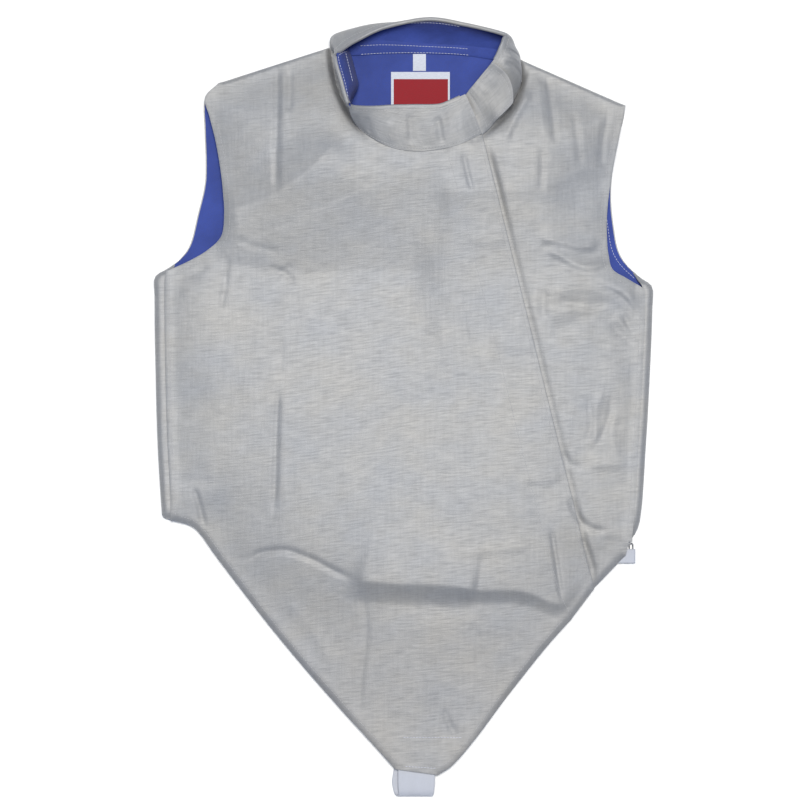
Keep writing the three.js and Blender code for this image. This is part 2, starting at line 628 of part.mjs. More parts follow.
// Hip hook: a long closed loop of wire lying in the tab's fold.
const hookBend = 0.5 * (HIP_HOOK.width - HOOK_WIRE);
const hookReach = 0.5 * (HIP_HOOK.length - HIP_HOOK.width);
const hookPoints = steps(0, 2 * Math.PI, HOOK_POINTS).slice(0, -1).map((angle) => {
  const end = clamp(HIP_HOOK.squareness * Math.sin(angle), -1, 1);
  const y = hookBend * Math.sin(angle) + hookReach * end;
  return new THREE.Vector3(hookBend * Math.cos(angle), y, 0);
});
const hookLine = new THREE.CatmullRomCurve3(hookPoints, true);
const hookTube = new THREE.TubeGeometry(hookLine, HOOK_SEGMENTS, 0.5 * HOOK_WIRE, HOOK_SIDES, true);
const hook = add("side_hook", hookTube, WIRE);
hook.position.set(HIP_HOOK.x, HIP_HOOK.y, HIP_TAB.floor + outerFold);

const labelBox = new THREE.BoxGeometry(NECK_LABEL.width, NECK_LABEL.height, LABEL_PLY);
const label = add("neck_label", labelBox, RED);
label.position.set(NECK_LABEL.x, NECK_LABEL.y, NECK_LABEL.floor + 0.5 * LABEL_PLY);
const sizeTabBox = new THREE.BoxGeometry(SIZE_TAB.width, SIZE_TAB.height, LABEL_PLY);
const sizeTab = add("size_tab", sizeTabBox, WHITE);
sizeTab.position.set(SIZE_TAB.x, SIZE_TAB.y, SIZE_TAB.floor + 0.5 * LABEL_PLY);
sizeTab.rotation.x = SIZE_TAB.tilt;

export default fencingLame;
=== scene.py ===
"""A sleeveless fencing lame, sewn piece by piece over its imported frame.

The lame lies closed on its back with the front up. The tables are in millimetres and the scene in
metres. +X is the wearer's left, +Y runs from the point to the collar and +Z is up.
"""

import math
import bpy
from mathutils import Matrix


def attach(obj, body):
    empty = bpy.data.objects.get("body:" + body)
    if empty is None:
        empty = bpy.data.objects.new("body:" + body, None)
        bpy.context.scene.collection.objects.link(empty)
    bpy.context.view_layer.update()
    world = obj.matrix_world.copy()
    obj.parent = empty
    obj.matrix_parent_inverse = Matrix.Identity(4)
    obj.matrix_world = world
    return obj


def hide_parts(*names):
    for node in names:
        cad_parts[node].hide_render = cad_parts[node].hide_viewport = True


bl_info = {
    "name": "Fencing Lame",
    "version": (1, 0, 0),
    "blender": (4, 5, 0),
    "location": "View3D > Sidebar > Lame",
    "description": "Sews a sleeveless fencing lame over its packed frame and lays it on a floor",
    "category": "Object",
}

import bmesh
import bpy
import numpy as np
from bpy.props import FloatProperty, FloatVectorProperty, PointerProperty
from mathutils import Vector, geometry, kdtree, noise

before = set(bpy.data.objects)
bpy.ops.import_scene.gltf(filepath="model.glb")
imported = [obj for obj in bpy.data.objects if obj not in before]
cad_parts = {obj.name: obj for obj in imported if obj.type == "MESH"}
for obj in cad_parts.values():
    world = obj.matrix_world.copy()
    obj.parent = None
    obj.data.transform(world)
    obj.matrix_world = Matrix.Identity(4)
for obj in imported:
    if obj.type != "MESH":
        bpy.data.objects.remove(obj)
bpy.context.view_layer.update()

MM = 0.001
BODY = "root"

SHELL = 1.2  # metallic cloth
LINING = 1.0  # lining cloth
PLY_GAP = 0.6  # air between a cloth and what lies under it
COLLAR_GAP = 0.7  # the same in the collar, which bends more
SHOULDER_ROLL = 6.0  # radius of the fold along the shoulders
SIDE_ROLL = 7.0  # radius of the fold that carries the back round each side
LEFT_OVER = 5.6  # flat part of the back beyond its roll, up to the left side seam
RIGHT_OVER = 3.1  # the same on the right
RISE_START = 10.0  # the front is flat this far in from the rim
RISE_SOFT = 14.0  # it leaves that strip this gradually
RISE_WIDTH = 120.0  # and reaches its full height over this width
RIM_POWER = 6  # how sharply the front's slopes meet where two sides of the rim are equally near
FOLD_WIDTH = 14.0  # folds have their full height this far in from the rim
FOLD_ENDS = 5.0  # a fold dies out over one part in this many at each end
CREST = 0.9  # how round the crest of a fold is
FOLD_POWER = 1.35  # how softly a fold runs out
HEM_FALL = 1.7  # the hems of the front roll down by this much at the point
HEM_WIDTH = 8.0  # over this width
LINING_SAG = 0.8  # the linings of the front hang this much lower away from the rim
SEAM_LAP = 2.8  # the front laps over the back by this much at the side seams
SEAM_RISE = 0.9  # and lies this much higher there
SEAM_RIDGE = 9.0  # over this width
SEAM_CALM = 18.0  # folds grow to their full height over this distance from a side seam
SEAM_HEAD = 3.0  # and are already this far along that on the seam itself
POINT_Y = -330.0  # the hems roll down more above here
POINT_FADE = 40.0  # and twice as much this far above it
SHOULDER_ENDS = 12.0  # the shoulder fold dies out over one part in this many at each end
LINING_INSET = 1.2  # the back lining stops this short of the armholes and the hem
LINING_TURN = 0.15  # and this share of the roll further in at the sides
LINING_DROP = 0.3  # rows by which it stops short of the shoulder seams
LINING_SLACK = 2.4  # height of its loose ripples
LINING_RIPPLE = 34.0  # and their size
LINING_DRAW = 4.0  # the linings of the front stop this short of its edges
NECK_LAP = 2.2  # the neck edges run on under the collar by this much
FRONT_LAP = 7.0  # and by this much more at the left of the neck
LAP_SPAN = 0.22, 0.3  # share of that edge where this is most, and its reach to both sides
SIDE_LAP = 5.0  # or beside the closure on the right
NECK_DIP = 1.6  # the neck edges go down by this much under the collar
NECK_GAPE = 11.0  # and by this much more on the left, where the collar stands away from them
NECK_SLIT = 0.9 * NECK_GAPE  # or this much on the right
GAPE_SPAN = 0.24, 0.26  # share of the left edge where that is most, and its reach
SLIT_SPAN = 0.42, 0.42  # the same on the right
EDGE_STEP = 2.0  # spacing of points along the edges
FLAP_PLY = 1.6  # doubled cloth of the closure flap
SEAM_AIR = 0.02  # air across the seam between the front and the flap
SEAM_STRIP = 3.0  # cloth this near that seam has no rounded rim and no painted edge highlight
FLAP_DROP = FLAP_PLY + 1.4  # how far the side front lies below the flap's face
FLAP_GROOVE = 2.0  # and how much deeper it lies along the flap's free edge
GROOVE_MORE = 0.9  # the groove is deeper by this share below the collar
GROOVE_Y, GROOVE_LENGTH = 222.0, 40.0  # round this place, over this length
GROOVE_FADE = 28.0  # but runs out over this distance from the neck
RISE_BEYOND = 75.0  # width beyond the flap over which it comes up to the flap's level
DROP_REACH = 60.0  # length below the shoulder over which it goes down
TAB_PLY = 1.6  # doubled cloth of the collar tab
STRAP_PLY = 1.4  # elastic of the crotch strap
WEBBING_PLY = 1.0  # webbing of the hip tab
HOOK_WIRE = 1.1  # wire of the hip hook
LABEL_PLY = 0.5  # woven labels
BINDING_PLY = 0.4  # binding over the collar's top edge
BINDING_LEG = 2.7  # which comes down this far on both faces
BINDING_AIR = 0.1  # air under it
TAPE_PLY = 0.5  # tape over the collar's seam
TAPE_TOP = 0.15  # share of the collar's height that it covers
TAPE_REACH = 5.0  # and how far it comes down on the back
STITCH_RAISE = 0.12  # stitches stand this proud of the cloth
EDGE_STITCH = 6.0  # their lines run this far in from the armholes and hems
SEAM_STITCH = 2.4  # from the side seams
FLAP_STITCH = 3.4  # from the flap's seam
FREE_STITCH = 4.0  # and from its free edge
LINING_TOP = SHELL + PLY_GAP
WALL = LINING_TOP + LINING
COLLAR_TOP = SHELL + COLLAR_GAP
SIDE_TURN = math.pi * SIDE_ROLL


def table(columns, *rows):
    """Columns of numbers by name."""
    return {name: np.array([row[k] for row in rows], float) for k, name in enumerate(columns)}


# Edges of the front, shoulder to point. The right edge is the neck, then the closure, then the hem.
FRONT = table(
    ("left_x", "left_y", "right_x", "right_y"),
    (-187, 325.5, -77.5, 362),
    (-200.5, 311, -76.2, 350.5),
    (-196, 292, -74.2, 336),
    (-190, 268, -70.4, 320),
    (-185, 240, -62.8, 302),
    (-182, 213, -49.6, 280.3),
    (-181, 193, -31.4, 267.2),
    (-184, 172, -10.3, 258.2),
    (-198, 158, 14, 255.1),
    (-217, 147, 38.6, 257.2),
    (-237, 138, 47, 226),
    (-238.2, 122, 54, 198),
    (-238, 80, 66, 150),
    (-237.3, 40, 78, 100),
    (-236.4, 0, 91, 50),
    (-235.2, -35, 103, 0),
    (-233.4, -68, 115, -48),
    (-232.4, -93, 127, -95),
    (-232, -113, 136, -130),
    (-215, -118, 144, -160),
    (-205, -127, 150, -180),
    (-193, -144, 157, -198),
    (-178.4, -163.6, 166, -212.7),
    (-141.6, -211.4, 140, -242),
    (-103.4, -257.9, 102, -290),
    (-63.7, -303, 72, -330),
    (-33, -336.3, 49, -357),
    (-10, -362, 33, -368),
)
CLOSURE_ROW = 9  # row of the front where the closure starts

# Free edge of the closure flap, one row for each row of the front from the closure's top on.
FLAP = table(
    ("free_x", "free_y"),
    (77.6, 271.6),
    (86.5, 236),
    (93.5, 208),
    (105.5, 159.5),
    (118, 109.5),
    (130.3, 60),
    (142.5, 10),
    (154.3, -38),
    (165.8, -84),
    (174, -117),
    (180, -143),
    (184.5, -161),
    (187.5, -172),
    (190, -181),
)

# Edges of the side front, shoulder to hem. The left edge is the neck, then the line under the flap.
SIDE = table(
    ("left_x", "left_y", "right_x", "right_y"),
    (115.8, 350, 221, 303),
    (116.1, 341.5, 218, 288),
    (118, 323, 214, 268),
    (108, 300.8, 209, 243),
    (93.3, 284.6, 204.5, 215),
    (81.6, 274, 202.3, 190),
    (66, 266.4, 202.5, 168),
    (69, 250, 204, 153),
    (74, 230, 208, 139),
    (79, 208, 222, 130),
    (85, 185, 237.6, 121),
    (95, 145, 237.6, 95),
    (105, 105, 236.6, 65),
    (115, 65, 235.2, 35),
    (125, 25, 233.6, 5),
    (135, -15, 231.7, -28),
    (145, -55, 229.6, -62),
    (154, -92, 228, -92),
    (162, -125, 226, -116),
    (169, -155, 224.5, -134),
    (178, -193, 221, -148),
)

# Edges of the back, shoulder to tail, and the radius of the roll that carries it round each side.
BACK = table(
    ("left_x", "left_y", "right_x", "right_y", "roll"),
    (-187, 325.5, 221, 303, 0),
    (-201, 310, 219, 289, 0),
    (-201, 278, 214, 270, 0),
    (-200, 248, 208, 236, 0),
    (-201, 223, 207, 206, 0),
    (-208, 193, 210, 178, 0),
    (-215, 165, 214, 158, 0),
    (-225, 150, 222, 144, 0),
    (-238, 140, 236, 131, 3.2),
    (-250.8, 131, 248, 121, SIDE_ROLL),
    (-251, 112, 248, 100, SIDE_ROLL),
    (-250.8, 78, 247, 68, SIDE_ROLL),
    (-250, 40, 245.5, 35, SIDE_ROLL),
    (-249.2, 0, 243.5, -5, SIDE_ROLL),
    (-247.8, -40, 241, -45, SIDE_ROLL),
    (-245.8, -75, 239, -78, SIDE_ROLL),
    (-244, -100, 237, -102, SIDE_ROLL),
    (-242, -110, 233, -122, 4.5),
    (-228, -114, 222, -138, 0),
    (-206, -120, 200, -156, 0),
    (-180, -146, 172, -190, 0),
    (-130, -207, 128, -242, 0),
    (-80, -268, 84, -297, 0),
    (-40, -310, 52, -326, 0),
    (-8, -330, 30, -334, 0),
)
UNDERARM = 9.0  # row of the back at the foot of the armholes
TURN_ROWS = 4.0  # rows over which its top edge turns up to the shoulders and the collar

# Top edge of the back: shoulder, neck, shoulder. Where fold is 1 it turns up to the shoulder seam.
BACK_TOP = table(
    ("x", "y", "lift", "fold"),
    (-187, 325.5, SHOULDER_ROLL, 1),
    (-76, 361.2, SHOULDER_ROLL, 1),
    (-55, 357.6, 5, 0),
    (-20, 359.2, 1.5, 0),
    (20, 359.2, 1.2, 0),
    (60, 357.2, 1.5, 0),
    (95, 352.2, 5, 0),
    (114, 349.6, SHOULDER_ROLL, 1),
    (221, 303, SHOULDER_ROLL, 1),
)
NECK_REACH = 28.0  # the back lifts toward the collar over this distance
TOP_FADE = 1.5  # how quickly the shape of the top edge fades toward the underarm
NARROW_ROW = 160.0  # rows shorter than this draw their side turns together
SIDE_SHARE = 0.2  # share of the back's columns that each side turn takes

# Line round the body where the front meets the back, with the front's height just inside it.
RIM = table(
    ("x", "y", "height"),
    (-77, 361.7, 12.6),
    (-187, 325.5, 12.6),
    (-201, 311, 13),
    (-212, 225, 14),
    (-226, 165, 14),
    (-250.8, 131, 14),
    (-250.8, 78, 14),
    (-249.2, 0, 14),
    (-245.8, -75, 14),
    (-242, -110, 13),
    (-205, -127, 11.5),
    (-113, -246, 11),
    (-12, -358, 12),
    (33, -368, 12),
    (102, -290, 11),
    (190, -181, 12),
    (231, -136, 13),
    (238, -85, 14),
    (243, -5, 14),
    (247, 68, 14),
    (248, 121, 14),
    (222, 160, 14),
    (212, 225, 14),
    (221, 303, 12.6),
    (115.5, 350, 12.6),
)

# Full height of the front along the body.
CROWN = table(
    ("y", "height"),
    (-400, 12.5),
    (-368, 12.5),
    (-330, 13),
    (-300, 15.5),
    (-200, 23),
    (-150, 29),
    (0, 32),
    (140, 34),
    (200, 37),
    (256, 44),
    (400, 44),
)

# Folds and creases of the front: height, how far each reaches to the left and to the right of its
# line, seen along it, and the line. Creases have a height below zero.
FOLDS = (
    (5.5, 60, 21, ((-60, -167), (-43, -172), (-25, -174), (-5, -175.5), (15, -176), (35, -177),
                   (63, -179.5), (74, -181))),
    (4.0, 50, 13, ((50, -179), (70, -182), (95, -182), (115, -183), (130, -187), (143, -193),
                   (155, -197), (166, -204))),
    (-1.7, 5, 4, ((-168, -156), (-153, -150), (-143, -145), (-125, -142.5), (-115, -143.5),
                  (-105, -147), (-90, -153), (-75, -161), (-60, -168), (-40, -173))),
    (-8.0, 95, 110, ((-200, 150), (-150, 139), (-120, 134), (-60, 136), (0, 138), (48, 140))),
    (4.2, 24, 78, ((24, 214), (70, 217), (110, 216), (175, 213))),
    (-0.9, 4, 4, ((-140, 141), (-126, 138), (-116, 131), (-110, 122))),
    (-0.8, 4, 4, ((-133, 128), (-122, 137), (-112, 144))),
    (-1.7, 6, 5, ((-128, 352), (-128, 335), (-128, 300), (-129, 250), (-128, 204))),
    (0.9, 6, 6, ((-122, 344), (-122, 310), (-121, 285))),
    (-1.0, 4, 4, ((-116, 343), (-115, 318), (-116, 294))),
    (8.0, 36, 95, ((-196, 194), (-168, 198), (-140, 208), (-112, 224), (-84, 248), (-62, 276))),
    (-1.2, 4.5, 4.5, ((-177, 156), (-180, 125), (-184, 96))),
    (-0.6, 5, 5, ((-172, 170), (-145, 160), (-125, 156))),
    (-1.2, 3.4, 3.4, ((-126, 22), (-128, -12), (-129.5, -60), (-131, -116))),
    (0.9, 7, 7, ((-120, 18), (-121, -30), (-123, -110))),
    (-0.7, 5, 5, ((-123, 72), (-124, 50), (-125, 30))),
    (-1.6, 4, 4, ((-212, -78), (-206, -98), (-200, -124))),
    (0.9, 20, 7, ((-240, -60), (-215, -66), (-184, -66))),
    (0.8, 9, 9, ((-226, 112), (-205, 122), (-188, 128))),
    (-0.8, 5, 5, ((-232, 128), (-212, 134), (-196, 142))),
    (-1.3, 5, 5, ((143, 338), (145, 312), (149, 282), (150, 262))),
    (1.0, 7, 7, ((133, 336), (136, 300), (140, 268))),
    (-1.0, 5, 5, ((136, 262), (137, 240), (135, 214))),
    (2.0, 6, 12, ((126, 318), (112, 294), (97, 262))),
    (-2.0, 4, 4, ((123, 340), (117, 327), (110, 312))),
    (-0.8, 6, 6, ((168, 300), (172, 270), (176, 238))),
    (-0.8, 5, 5, ((205, 300), (198, 270), (196, 240))),
    (0.8, 16, 8, ((90, 226), (125, 222), (168, 228))),
    (2.0, 12, 6, ((130, 170), (146, 168), (162, 164), (180, 161), (196, 165))),
    (2.2, 12, 6, ((138, 158), (154, 153), (170, 144), (187, 141), (206, 147))),
    (3.6, 26, 15, ((132, 112), (155, 118), (175, 122), (195, 123), (215, 117), (228, 106),
                   (236, 90), (243, 78))),
    (-1.0, 6, 6, ((150, 108), (175, 104), (205, 105))),
    (-1.4, 7, 5, ((145, 118), (170, 124), (195, 122), (215, 112), (228, 98), (236, 84))),
    (1.0, 9, 7, ((208, 94), (222, 80), (236, 66))),
    (-0.8, 7, 7, ((204, 86), (220, 70), (238, 58))),
    (1.2, 18, 13, ((140, 92), (165, 98), (190, 108))),
    (-0.7, 14, 12, ((143, 74), (163, 82), (180, 94))),
    (-0.9, 5, 5, ((218, 96), (226, 78), (236, 60))),
    (-1.0, 6, 6, ((140, 120), (138, 105), (137, 88))),
    (0.9, 6, 6, ((198, 20), (190, -8), (193, -42))),
    (-0.8, 5, 5, ((206, 16), (203, -14), (184, -50))),
    (-0.7, 5, 5, ((181, 12), (187, -14), (180, -34))),
    (0.6, 6, 6, ((213, -2), (207, -26), (214, -52))),
    (-1.0, 6, 6, ((158, -42), (166, -56), (178, -60))),
    (1.0, 16, 7, ((182, -58), (210, -56), (240, -56))),
    (-1.5, 5, 5, ((164, -84), (172, -108), (188, -121), (204, -123))),
    (0.7, 12, 6, ((190, -124), (208, -127), (232, -128))),
    (-1.0, 5, 5, ((176, -128), (184, -146), (192, -168))),
    (-1.2, 3.5, 3.5, ((58, 255), (62, 236), (68, 214))),
    (-1.4, 3.5, 3.5, ((146, -118), (151, -152), (158, -198))),
    (0.7, 16, 7, ((88, 66), (108, 60), (132, 62))),
    (0.8, 16, 7, ((116, -70), (138, -72), (158, -66))),
    (0.6, 16, 7, ((60, 170), (82, 166), (104, 168))),
    (-0.6, 5, 5, ((52, 130), (58, 90), (66, 44))),
    (0.6, 8, 8, ((34, 96), (44, 40), (62, -20))),
    (0.8, 16, 6, ((60, -146), (90, -142), (128, -138))),
    (-0.9, 5, 5, ((-42, -180), (-39, -225), (-44, -270), (-46, -318))),
    (-1.1, 5, 5, ((38, -300), (44, -316), (52, -330))),
    (0.8, 12, 12, ((20, -205), (26, -250), (22, -300))),
    (-0.6, 6, 6, ((66, -214), (74, -236), (70, -262))),
    (0.6, 10, 10, ((-120, -190), (-95, -220), (-70, -262))),
)

# Shallow hollows of the front: centre, reach across and along, depth.
HOLLOWS = table(
    ("x", "y", "across", "along", "depth"),
    (-165, 225, 40, 45, 1.6),
    (-135, 260, 30, 40, 1.0),
    (190, 82, 45, 26, 1.8),
    (165, 215, 55, 18, 1.2),
    (40, 35, 45, 60, 0.8),
    (45, -196, 75, 13, 1.6),
    (-212, -66, 28, 11, 1.7),
    (-75, -225, 45, 34, 1.2),
    (150, -70, 25, 20, 0.9),
)

# Buckles of the collar: station, share of its height from and to, height and width in stations.
BUCKLES = table(
    ("station", "low", "high", "height", "width"),
    (2.1, 0.05, 0.8, -1.3, 0.16),
    (3.3, 0.1, 0.9, -1.0, 0.14),
    (4.1, 0.05, 0.7, 0.9, 0.2),
    (5.2, 0.1, 0.75, -1.2, 0.14),
    (5.75, 0.1, 0.75, -1.6, 0.13),
    (6.3, 0.15, 0.8, 0.8, 0.2),
    (14.6, 0.2, 0.95, -0.9, 0.2),
    (16.9, 0.05, 0.95, -2.6, 0.14),
    (17.45, 0.1, 0.9, 1.8, 0.18),
    (18.0, 0.0, 0.85, -2.6, 0.12),
)

# Collar stations from the closure round the back of the neck to the closure again.
# Each gives the seam, the middle and the top edge of the band; side says what the seam joins.
COLLAR_SIDES = ["flap"] * 2 + ["front"] * 8 + ["back"] * 7 + ["side"] * 5
COLLAR = table(
    ("seam_x", "seam_y", "mid_x", "mid_y", "mid_z", "top_x", "top_y", "top_z"),
    (77, 274, 69, 293.5, 43, 60, 313, 45.5),
    (59, 265, 53, 286, 45, 47, 307, 47),
    (40, 259, 36.5, 280.5, 46, 33, 302, 48),
    (14, 256, 12, 279, 46.5, 10, 301.5, 49),
    (-10, 259, -11, 280, 47, -12, 301, 50),
    (-31, 268, -33, 283, 48, -33, 299.5, 53),
    (-48, 282, -51.5, 289, 51.5, -52, 300, 61),
    (-57, 303, -57.5, 304, 53, -58.5, 303.5, 68),
    (-63.5, 328, -63.5, 328, 48, -65, 325, 67),
    (-69.5, 350.5, -69.5, 353, 40, -71, 349.5, 61),
    (-74.3, 361.6, -73, 371, 28, -62, 358, 52),
    (-55, 358.4, -55, 379, 20, -47, 368, 41),
    (-20, 360, -25, 383, 17, -20, 381, 35),
    (20, 360, 21, 379, 12, 22, 390, 32),
    (60, 358, 61, 376, 13, 60, 384.5, 33),
    (95, 353, 102, 370, 22, 99, 374, 42),
    (112.3, 350.4, 111, 360, 28, 99, 367, 48),
    (114.3, 342.5, 113, 351, 35, 95.5, 360, 50),
    (116, 323, 111, 339, 39.5, 89, 348, 47.5),
    (106, 302, 98, 319, 40, 76, 332, 44),
    (92, 286, 82, 305, 39.5, 67, 321, 42),
    (81, 275, 73, 295, 37.6, 62, 314.5, 40),
)
COLLAR_SLACK = 0.9  # height of the collar's soft waves
LINING_LEAN = 13.0  # how far the collar lining leans in at its foot on the left
LEAN_FROM, LEAN_TO = 6.9, 10.6  # between these stations
COLLAR_RISE = {"back": 0.3, "flap": 1.4, "front": 1.4, "side": 0.6}  # of the seam over the cloth
TAB_START = 18.2  # stations between which the tab lies, at the top edge of the collar
TAB_SLANT = 0.75  # how much nearer the closure its end is at the seam
TAB_END = 21.35
TAB_RIDGE = 0.85  # share of the collar's height where the tab leaves it
TAB_SINK = 1.5  # its lower edge lies this much below the middle of the collar
TAB_FREE = 20.9  # it is held down from this station on
TAB_BEND = 1.2  # and comes free over this many stations
TAB_LIFT = 1.8  # its free end stands this much further off
TAB_CURL = 0.3  # over this share of its length

# Crotch strap, from under the front point round its fold and back along the floor to the tail.
STRAP = table(
    ("y", "z", "centre_x", "width"),
    (-346, 8.6, 11.5, 37),
    (-360, 8.8, 11.5, 37),
    (-374, 9.4, 11.5, 37),
    (-383, 9.2, 11.3, 36),
    (-388, 7.2, 11, 35),
    (-389.4, 4.6, 9.5, 35),
    (-388, 1.9, 8, 36),
    (-384, 0.4, 7, 37),
    (-374, 0, 6, 38),
    (-355, 0, 9, 38),
    (-335.2, 0, 11, 36),
)

HIP_TAB = {
    "left": 188.0, "right": 231.0, "bottom": -155.5, "top": -141.5, "floor": 3.1, "room": 1.9,
}
HIP_HOOK = {"x": 226.8, "y": -142.2, "width": 4.6, "length": 14.0}
NECK_LABEL = {"x": 15.5, "y": 316.0, "width": 59.0, "height": 42.0, "floor": WALL + 0.4}
SIZE_TAB = {
    "x": 14.5, "y": 346.5, "width": 13.0, "height": 17.0, "floor": WALL + 0.75, "tilt": 0.05,
}
LABEL_CLEAR = 36.0  # the lining is flat this far to each side of the label
LABEL_FADE = 14.0  # and slack beyond this much more

# Slack of the front between its folds: height, size, squeeze along the body and noise layer.
SLACK = ((0.9, 62, 1.0, 3.1), (0.5, 30, 0.6, 8.7), (0.2, 15, 1.0, 5.3))
SLACK_RIGHT, SLACK_TOP = 110.0, 230.0  # there is more of it to the right and above these lines
SLACK_FADE = 60.0  # in full this far beyond them

# Drift of the threads across and along the body: distance, size and noise layer.
DRIFT = ((6, 210, 17.2), (9, 230, 21.5))
GRAIN_LEAN = 0.09  # and their slant

# Spacing of points in the cut pieces.
PITCH = {"front": 2.4, "side": 2.0, "flap": 1.8, "lining": 3.0}
ROW_STEP = 0.866  # their rows lie this share of it apart
EDGE_CLEAR = 0.62  # and stay this share of it away from the outline
DRAW_ROOM = 0.12  # a lining's edge may come this much nearer to its panel's than it should


def along(column, rows):
    """Smooth value of a table column at positions counted in rows."""
    rows = np.asarray(rows, float)
    i = np.clip(np.floor(rows).astype(int), 0, len(column) - 2)
    t = rows - i
    ends = np.concatenate(([2 * column[0] - column[1]], column, [2 * column[-1] - column[-2]]))
    a, b, c, d = ends[i], ends[i + 1], ends[i + 2], ends[i + 3]
    return b + 0.5 * t * (c - a + t * (2 * a - 5 * b + 4 * c - d + t * (3 * (b - c) + d - a)))


def keyed(rows, key, value, column):
    """Value of one column of a table whose rows are sorted by another column."""
    return np.interp(value, rows[key], rows[column])


def smooth_line(points, count):
    """A line through corner points, drawn again as a smooth one."""
    corners = np.array(points, float)
    rows = np.linspace(0, len(corners) - 1, count)
    return np.stack([along(corners[:, k], rows) for k in range(corners.shape[1])], -1)


def spaced(line, step):
    """The same line with its points at even distances."""
    run = np.concatenate(([0], np.cumsum(np.linalg.norm(np.diff(line, axis=0), axis=1))))
    at = np.linspace(0, run[-1], max(2, int(math.ceil(run[-1] / step)) + 1))
    return np.stack([np.interp(at, run, line[:, k]) for k in range(line.shape[1])], -1)


def moved(line, inset):
    """A plan line moved to its left by a distance."""
    ahead = np.gradient(line[:, :2], axis=0)
    ahead /= np.linalg.norm(ahead, axis=1, keepdims=True)
    return line[:, :2] + np.reshape(inset, (-1, 1)) * np.stack([-ahead[:, 1], ahead[:, 0]], -1)


def lapped(line, lap):
    """A side seam carried over the back, a little less at the underarm."""
    return moved(line, lap * eased(np.linspace(0.5, 30, len(line))))


def edge_line(rows, side, first, last):
    """One edge of a panel from row to row, as a smooth line with evenly spaced points."""
    span = slice(first, last + 1)
    points = np.stack([rows[f"{side}_x"][span], rows[f"{side}_y"][span]], -1)
    return spaced(smooth_line(points, 14 * (last - first)), EDGE_STEP)


def joined(*lines):
    """Lines end to end, without the points that they share."""
    parts = [lines[0]]
    for line in lines[1:]:
        same = np.linalg.norm(line[0] - parts[-1][-1]) < 0.05
        parts.append(line[1:] if same else line)
    whole = np.concatenate(parts)
    if np.linalg.norm(whole[0] - whole[-1]) < 0.05:
        whole = whole[:-1]
    return whole


def straight(a, b):
    """A straight line with evenly spaced points."""
    return spaced(np.array([a, b], float), EDGE_STEP)


def nearest(a, b, x, y):
    """Distance from the piece a to b, share along it, and side (left is positive)."""
    dx, dy = b[0] - a[0], b[1] - a[1]
    share = np.clip(((x - a[0]) * dx + (y - a[1]) * dy) / (dx * dx + dy * dy), 0, 1)
    away = np.hypot(x - a[0] - share * dx, y - a[1] - share * dy)
    side = np.where(dx * (y - a[1]) - dy * (x - a[0]) >= 0, 1.0, -1.0)
    return away, share, side


def nearest_on(line, x, y):
    """Distance from a line, share along it, and side (left is positive)."""
    away, place, side = np.full(x.shape, np.inf), np.zeros(x.shape), np.ones(x.shape)
    for i in range(len(line) - 1):
        found, share, left = nearest(line[i], line[i + 1], x, y)
        closer = found < away
        away = np.where(closer, found, away)
        place = np.where(closer, (i + share) / (len(line) - 1), place)
        side = np.where(closer, left, side)
    return away, place, side


def ripple(x, y, size, layer):
    """Soft random relief between about -1 and 1 with patches of one size."""
    flat = zip(np.ravel(x) / size, np.ravel(y) / size)
    values = [noise.noise(Vector((a, b, layer))) for a, b in flat]
    return np.reshape(values, np.shape(x))


def eased(t):
    """A share between 0 and 1 with soft ends."""
    t = np.clip(t, 0, 1)
    return t * t * (3 - 2 * t)


def bell(t, middle, width):
    """1 at the middle, falling off softly to both sides."""
    return np.exp(-(((t - middle) / width) ** 2))


def plateau(t, middle, width):
    """1 round the middle, falling off quickly at both sides."""
    return np.exp(-(((t - middle) / width) ** 4))


def arched(first, middle, last, v):
    """A curve through three places, at shares 0, a half and 1 of the way."""
    v = np.asarray(v, float)[..., None]
    return 2 * (v - 0.5) * (v - 1) * first + 4 * v * (1 - v) * middle + 2 * v * (v - 0.5) * last


FOLD_LINES = [(*fold[:3], smooth_line(fold[3], 5 * len(fold[3]))) for fold in FOLDS]


def fold_relief(x, y):
    """Height that the folds, creases and hollows add to the front."""
    relief = np.zeros_like(x)
    for height, left, right, line in FOLD_LINES:
        reach = max(left, right) + 2
        low, high = line.min(0) - reach, line.max(0) + reach
        near = np.nonzero((x > low[0]) & (x < high[0]) & (y > low[1]) & (y < high[1]))[0]
        if not len(near):
            continue
        away, place, side = nearest_on(line, x[near], y[near])
        t = (np.hypot(away, CREST) - CREST) / np.where(side > 0, left, right)
        ends = eased(FOLD_ENDS * np.minimum(place, 1 - place))
        relief[near] += height * ends * np.clip(1 - t, 0, 1) ** FOLD_POWER
    for hx, hy, across, reach, depth in zip(*HOLLOWS.values()):
        relief -= depth * np.exp(-(((x - hx) / across) ** 2) - ((y - hy) / reach) ** 2)
    return relief


def crumple(x, y):
    """Small slack of the cloth between its folds."""
    slack = 0.5 + 0.5 * np.clip((x - SLACK_RIGHT) / SLACK_FADE, 0, 1)
    slack = slack + 0.3 * np.clip((y - SLACK_TOP) / SLACK_FADE, 0, 1)
    parts = [height * ripple(x, squeeze * y, size, layer) for height, size, squeeze, layer in SLACK]
    return slack * sum(parts)


# The crown's heights again at close steps, with their corners smoothed away.
CROWN_Y = np.arange(-400.0, 401.0, 4.0)
CROWN_BLUR = 12  # steps to each side
CROWN_KERNEL = bell(np.arange(-CROWN_BLUR, CROWN_BLUR + 1), 0, 5.0)
CROWN_HEIGHT = np.convolve(
    np.pad(keyed(CROWN, "y", CROWN_Y, "height"), CROWN_BLUR, mode="edge"),
    CROWN_KERNEL / CROWN_KERNEL.sum(),
    "valid",
)


